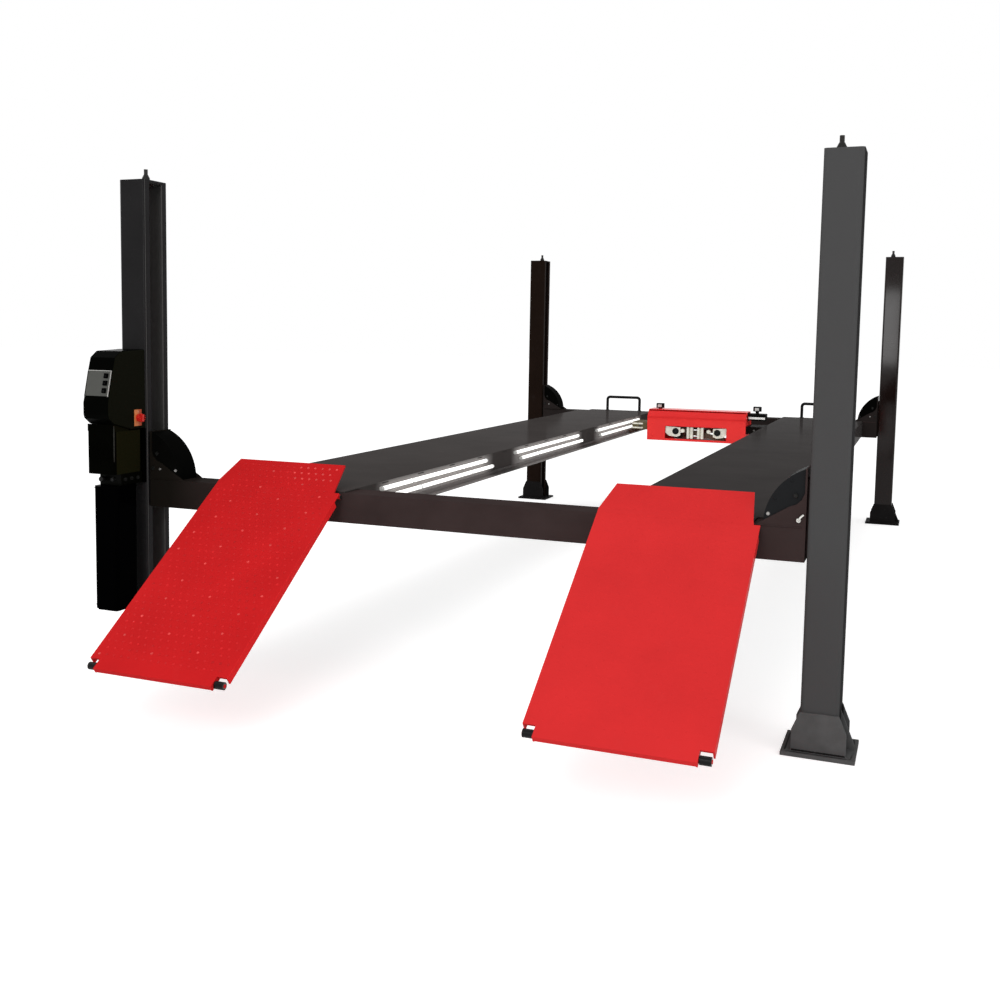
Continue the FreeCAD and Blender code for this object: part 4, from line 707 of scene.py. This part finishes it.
# ---------------- power unit: motor with its hood, valves, tank
MOTOR_X, MOTOR_Y, MOTOR_Z = -1.5905, -3.2006, 0.998
GRILLE_WIRE = 0.0022
unit = Shape()
for k in range(5):
    unit.block((-1.6745, -3.17, 0.935 + 0.028 * k), (-1.6695, -3.03, 0.941 + 0.028 * k), 0.001)
for r in (0.016, 0.031, 0.046, 0.061):
    unit.swept(circle((MOTOR_X, MOTOR_Y, MOTOR_Z), r, 40, XZ), GRILLE_WIRE, 7, closed=True)
for k in range(6):
    a = math.tau * (k + 0.5) / 6
    spoke = [(MOTOR_X + r * math.cos(a), MOTOR_Y, MOTOR_Z + r * math.sin(a)) for r in (0.012, 0.064)]
    unit.swept(spoke, GRILLE_WIRE, 7)
unit.block((-1.699, -3.13, 0.95), (-1.669, -3.05, 1.05), 0.003)
unit.turned((-1.684, -3.09, 0.95), (0, 0, -1),
            [(0.011, -0.001), (0.011, 0.006), (0.008, 0.007), (0.008, 0.016), (0.005, 0.017)], 18)
hood = [(-3.1985, 1.0955), (-3.1985, 1.1285), (-3.14, 1.1135), (-3.098, 1.1018), (-3.098, 1.0955)]
unit.prism([(-1.6605, y, z) for y, z in hood], [(-1.512, y, z) for y, z in hood])
piece("motor_grille_and_box", unit, "lift_frame", "motor_black")
# painted highlight: a thin lighter strip along the motor's front right corner
corner = Shape()
corner.swept([(-1.5118, -3.1988, 0.96 + 0.0325 * k) for k in range(6)],
             [0.0012, 0.0026, 0.0029, 0.0029, 0.0028, 0.0016], 10)
piece("motor_corner_highlight", corner, "lift_frame", "motor_black", MOTOR_EDGE_HIGHLIGHT)
small = Shape()
for y in (-3.122, -3.058):
    for z in (0.958, 1.042):
        small.turned((-1.699, y, z), (-1, 0, 0), [(0.0042, -0.0004), (0.004, 0.0015), (0.002, 0.0026)], 14)
for y in (-3.03, -3.075, -3.12):
    small.bolt((-1.5165, y, 0.872), (1, 0, 0), 0.009)
    small.bolt((-1.6365, y, 0.872), (-1, 0, 0), 0.009)
small.turned((-1.606, -3.15, 0.874), (0, -1, 0),
             [(0.006, -0.001), (0.006, 0.012), (0.0125, 0.013), (0.013, 0.028), (0.011, 0.031)], 24)
small.bolt((-1.56, -3.15, 0.872), (0, -1, 0), 0.011)
small.bolt((-1.5745, -3.1225, 0.268), (0, 0, -1), 0.012)
for z in (0.455, 0.595):
    small.bolt((-1.6345, -3.125, z), (-1, 0, 0), 0.006)
piece("power_unit_fittings", small, "lift_frame", "valve_metal", BLACK_SCREW)

TANK_LEFT, TANK_RIGHT, TANK_FRONT, TANK_BACK, TANK_ROUND = -1.6345, -1.5045, -3.2, -3.045, 0.022
tank = Shape()
left, right = TANK_LEFT + TANK_ROUND, TANK_RIGHT - TANK_ROUND
front, back = TANK_FRONT + TANK_ROUND, TANK_BACK - TANK_ROUND
for z, r in ((0.836, 0.003), (0.292, 0.0022)):
    path = []
    for cx, cy, start in ((right, back, 0), (left, back, 90), (left, front, 180), (right, front, 270)):
        for k in range(7):
            a = math.radians(start + 15 * k)
            path.append((cx + TANK_ROUND * math.cos(a), cy + TANK_ROUND * math.sin(a), z))
    tank.swept(path, r, 8, closed=True)
tank.turned((TANK_LEFT, -3.12, 0.79), (-1, 0, 0),
            [(0.014, -0.001), (0.014, 0.006), (0.019, 0.007), (0.019, 0.019), (0.016, 0.022)], 28)
tank.block((-1.6385, -3.134, 0.445), (-1.634, -3.116, 0.605), 0.002)
piece("tank_seams_and_cap", tank, "lift_frame", "unit_black")

# ---------------- console: painted highlights on two edges of the panel, bezel, screws and marks in the leaning panel's frame
LEAN = math.radians(13.7)
low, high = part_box("console_panel")
across = Vector((1, 0, 0))
upward = Vector((0, math.sin(LEAN), math.cos(LEAN)))
outward = Vector((0, -math.cos(LEAN), math.sin(LEAN)))
panel = Matrix((across, upward, outward)).transposed().to_4x4()
panel.translation = (low + high) / 2 + outward * 0.0015
# painted highlights: light strips along the panel's right and upper edges
edge = Shape(panel)
edge.block((0.0625, -0.0595, -0.003), (0.0655, 0.0595, 0.0012), 0.0006)
edge.block((-0.0645, 0.0575, -0.003), (0.0645, 0.0605, 0.0012), 0.0006)
piece("panel_edge_highlight_strips", edge, "lift_frame", "panel_grey", PANEL_EDGE_HIGHLIGHT)
bezel = Shape(panel)
bezel.block((-0.0665, -0.0595, -0.003), (-0.0625, 0.0595, 0.0012), 0.0008)
bezel.block((-0.0645, -0.0615, -0.003), (0.0645, -0.0575, 0.0012), 0.0008)
piece("panel_bezel", bezel, "lift_frame", "console_black")
screws = Shape(panel)
for a in (-0.056, 0.02):
    for b in (-0.051, 0.051):
        screws.turned((a, b, 0.0), (0, 0, 1), [(0.0032, -0.0004), (0.003, 0.0008), (0.0014, 0.0014)], 14)
piece("panel_screws", screws, "lift_frame", "panel_grey")

BUTTON_A, BUTTON_PITCH, BUTTON_TOP = 0.041, 0.034, 0.0061
under, over = BUTTON_TOP - 0.0006, BUTTON_TOP + 0.0003
for name, row, points_to in (("raise", 1, 1), ("lower", 0, -1), ("lock", -1, 0)):
    mark = Shape(panel)
    b = row * BUTTON_PITCH
    if points_to:
        arrow = ((BUTTON_A - 0.0045, b - points_to * 0.003), (BUTTON_A + 0.0045, b - points_to * 0.003),
                 (BUTTON_A, b + points_to * 0.0045))
        mark.prism([corner + (under,) for corner in arrow], [corner + (over,) for corner in arrow])
    else:
        mark.block((BUTTON_A - 0.004, b - 0.004, under), (BUTTON_A + 0.004, b + 0.002, over), 0.0004)
        mark.block((BUTTON_A - 0.0025, b + 0.002, under), (BUTTON_A + 0.0025, b + 0.0045, over), 0.0004)
    piece("button_mark_" + name, mark, name + "_button", "button_black", BUTTON_MARK)

# ---------------- console: marks and grip of the main switch, vents, screws
SWITCH_Y, SWITCH_Z = -3.041, 1.152
dial = Shape()
turns = [math.tau * k / 16 for k in range(16)]
dial.swept([(-1.5018, -3.0203 + 0.0022 * math.cos(a), SWITCH_Z + 0.003 * math.sin(a)) for a in turns],
           0.0005, 6, closed=True)
dial.block((-1.5022, -3.0416, 1.1775), (-1.5013, -3.0404, 1.1845), 0.0003)
piece("switch_marks", dial, "lift_frame", "switch_yellow", MARK)
grip = Shape()
for k in range(12):
    a = math.tau * k / 12
    y, z = SWITCH_Y + 0.0172 * math.cos(a), SWITCH_Z + 0.0172 * math.sin(a)
    grip.swept([(x, y, z) for x in (-1.4985, -1.4965, -1.476, -1.4742)], [0.0012, 0.002, 0.002, 0.0012], 8)
grip.block((-1.475, -3.0425, 1.153), (-1.4722, -3.0395, 1.167), 0.0008)
piece("switch_grip", grip, "main_switch", "switch_red")

housing = Shape()
for k in range(6):
    housing.block((-1.6492, -3.15, 1.14 + 0.012 * k), (-1.6478, -3.06, 1.145 + 0.012 * k), 0.0004)
for z in (1.125, 1.3, 1.43):
    for x, face in ((-1.505, 1), (-1.648, -1)):
        housing.turned((x, -3.01, z), (face, 0, 0), [(0.0045, -0.0005), (0.0042, 0.001), (0.002, 0.002)], 16)
piece("console_vents_and_screws", housing, "lift_frame", "console_black")

# ---------------- light, floor and camera
scene = bpy.context.scene
scene.view_settings.view_transform = "Standard"


def any_ray(tree, *kinds):
    """One for a ray of any of these kinds, and zero for the others."""
    rays = tree.nodes.new("ShaderNodeLightPath")
    value = rays.outputs[kinds[0]]
    for kind in kinds[1:]:
        value = compute(tree, "MAXIMUM", value, rays.outputs[kind])
    return value


WHITE = (1.0, 1.0, 1.0, 1.0)
ROOM_LIGHT = 0.65   # light from all around
FLOOR_GREY = (0.86, 0.86, 0.86, 1.0)
FLOOR_LIFT = 0.56   # lets the floor look as pale as the backdrop
FLOOR_REACH = 60
world = bpy.data.worlds.new("studio")
scene.world = world
world.use_nodes = True
tree = world.node_tree
tree.nodes.clear()
lighting = add_node(tree, "ShaderNodeBackground", (), {"Color": WHITE, "Strength": ROOM_LIGHT})
backdrop = add_node(tree, "ShaderNodeBackground", (), {"Color": WHITE, "Strength": 1.0})
seen = any_ray(tree, "Is Camera Ray", "Is Glossy Ray", "Is Transmission Ray")
blend = add_node(tree, "ShaderNodeMixShader", {0: seen, 1: lighting.outputs[0], 2: backdrop.outputs[0]})
add_node(tree, "ShaderNodeOutputWorld", {0: blend.outputs[0]})

floor_mesh = bpy.data.meshes.new("floor")
square = ((-1, -1), (1, -1), (1, 1), (-1, 1))
floor_mesh.from_pydata([(x * FLOOR_REACH, y * FLOOR_REACH, 0) for x, y in square], [], [(0, 1, 2, 3)])
floor = bpy.data.objects.new("floor", floor_mesh)
floor.location.z = -0.0005
scene.collection.objects.link(floor)
pale = bpy.data.materials.new("floor_pale")
pale.use_nodes = True
tree = pale.node_tree
tree.nodes.clear()
lift = compute(tree, "MULTIPLY", any_ray(tree, "Is Camera Ray", "Is Glossy Ray"), FLOOR_LIFT)
diffuse = add_node(tree, "ShaderNodeBsdfDiffuse", (), {"Color": FLOOR_GREY})
shine = add_node(tree, "ShaderNodeEmission", {"Strength": lift}, {"Color": WHITE})
total = add_node(tree, "ShaderNodeAddShader", {0: diffuse.outputs[0], 1: shine.outputs[0]})
add_node(tree, "ShaderNodeOutputMaterial", {0: total.outputs[0]})
floor_mesh.materials.append(pale)


def lamp(name, at, target, size, power):
    data = bpy.data.lights.new(name, "AREA")
    data.shape = "DISK"
    data.size = size
    data.energy = power
    obj = bpy.data.objects.new(name, data)
    obj.location = at
    obj.rotation_euler = (Vector(target) - Vector(at)).to_track_quat("-Z", "Y").to_euler()
    scene.collection.objects.link(obj)


lamp("key", (0.4, -10.5, 5.2), (0.4, -2.0, 0.8), 4.0, 200.0)
lamp("fill", (-7.0, -4.0, 5.0), (-0.5, -1.0, 0.8), 4.0, 40.0)
lamp("top", (0.0, 1.0, 7.5), (0.0, 0.5, 0.8), 5.0, 70.0)
lamp("card", (1.1, -11.5, 1.8), (1.4, 0.0, 1.6), 1.5, 42.0)
lamp("side", (8.0, -6.0, 4.5), (0.4, -2.5, 0.6), 3.5, 90.0)

CAMERA_AT = (1.8958, -7.2904, 1.5678)
YAW, PITCH, ROLL = math.radians(22.0), math.radians(-5.259), math.radians(0.868)
ahead = Vector((-math.sin(YAW) * math.cos(PITCH), math.cos(YAW) * math.cos(PITCH), math.sin(PITCH)))
right = Vector((math.cos(YAW), math.sin(YAW), 0.0))
above = right.cross(ahead)
rolled_right = right * math.cos(ROLL) + above * math.sin(ROLL)
rolled_above = above * math.cos(ROLL) - right * math.sin(ROLL)
data = bpy.data.cameras.new("camera")
data.sensor_width = 36.0
data.lens = 40.579
data.shift_x = 0.02602
data.shift_y = -0.06348
data.clip_end = 200.0
camera = bpy.data.objects.new("camera", data)
turn = Matrix((rolled_right, rolled_above, -ahead)).transposed()
camera.matrix_world = Matrix.Translation(CAMERA_AT) @ turn.to_4x4()
scene.collection.objects.link(camera)
scene.camera = camera
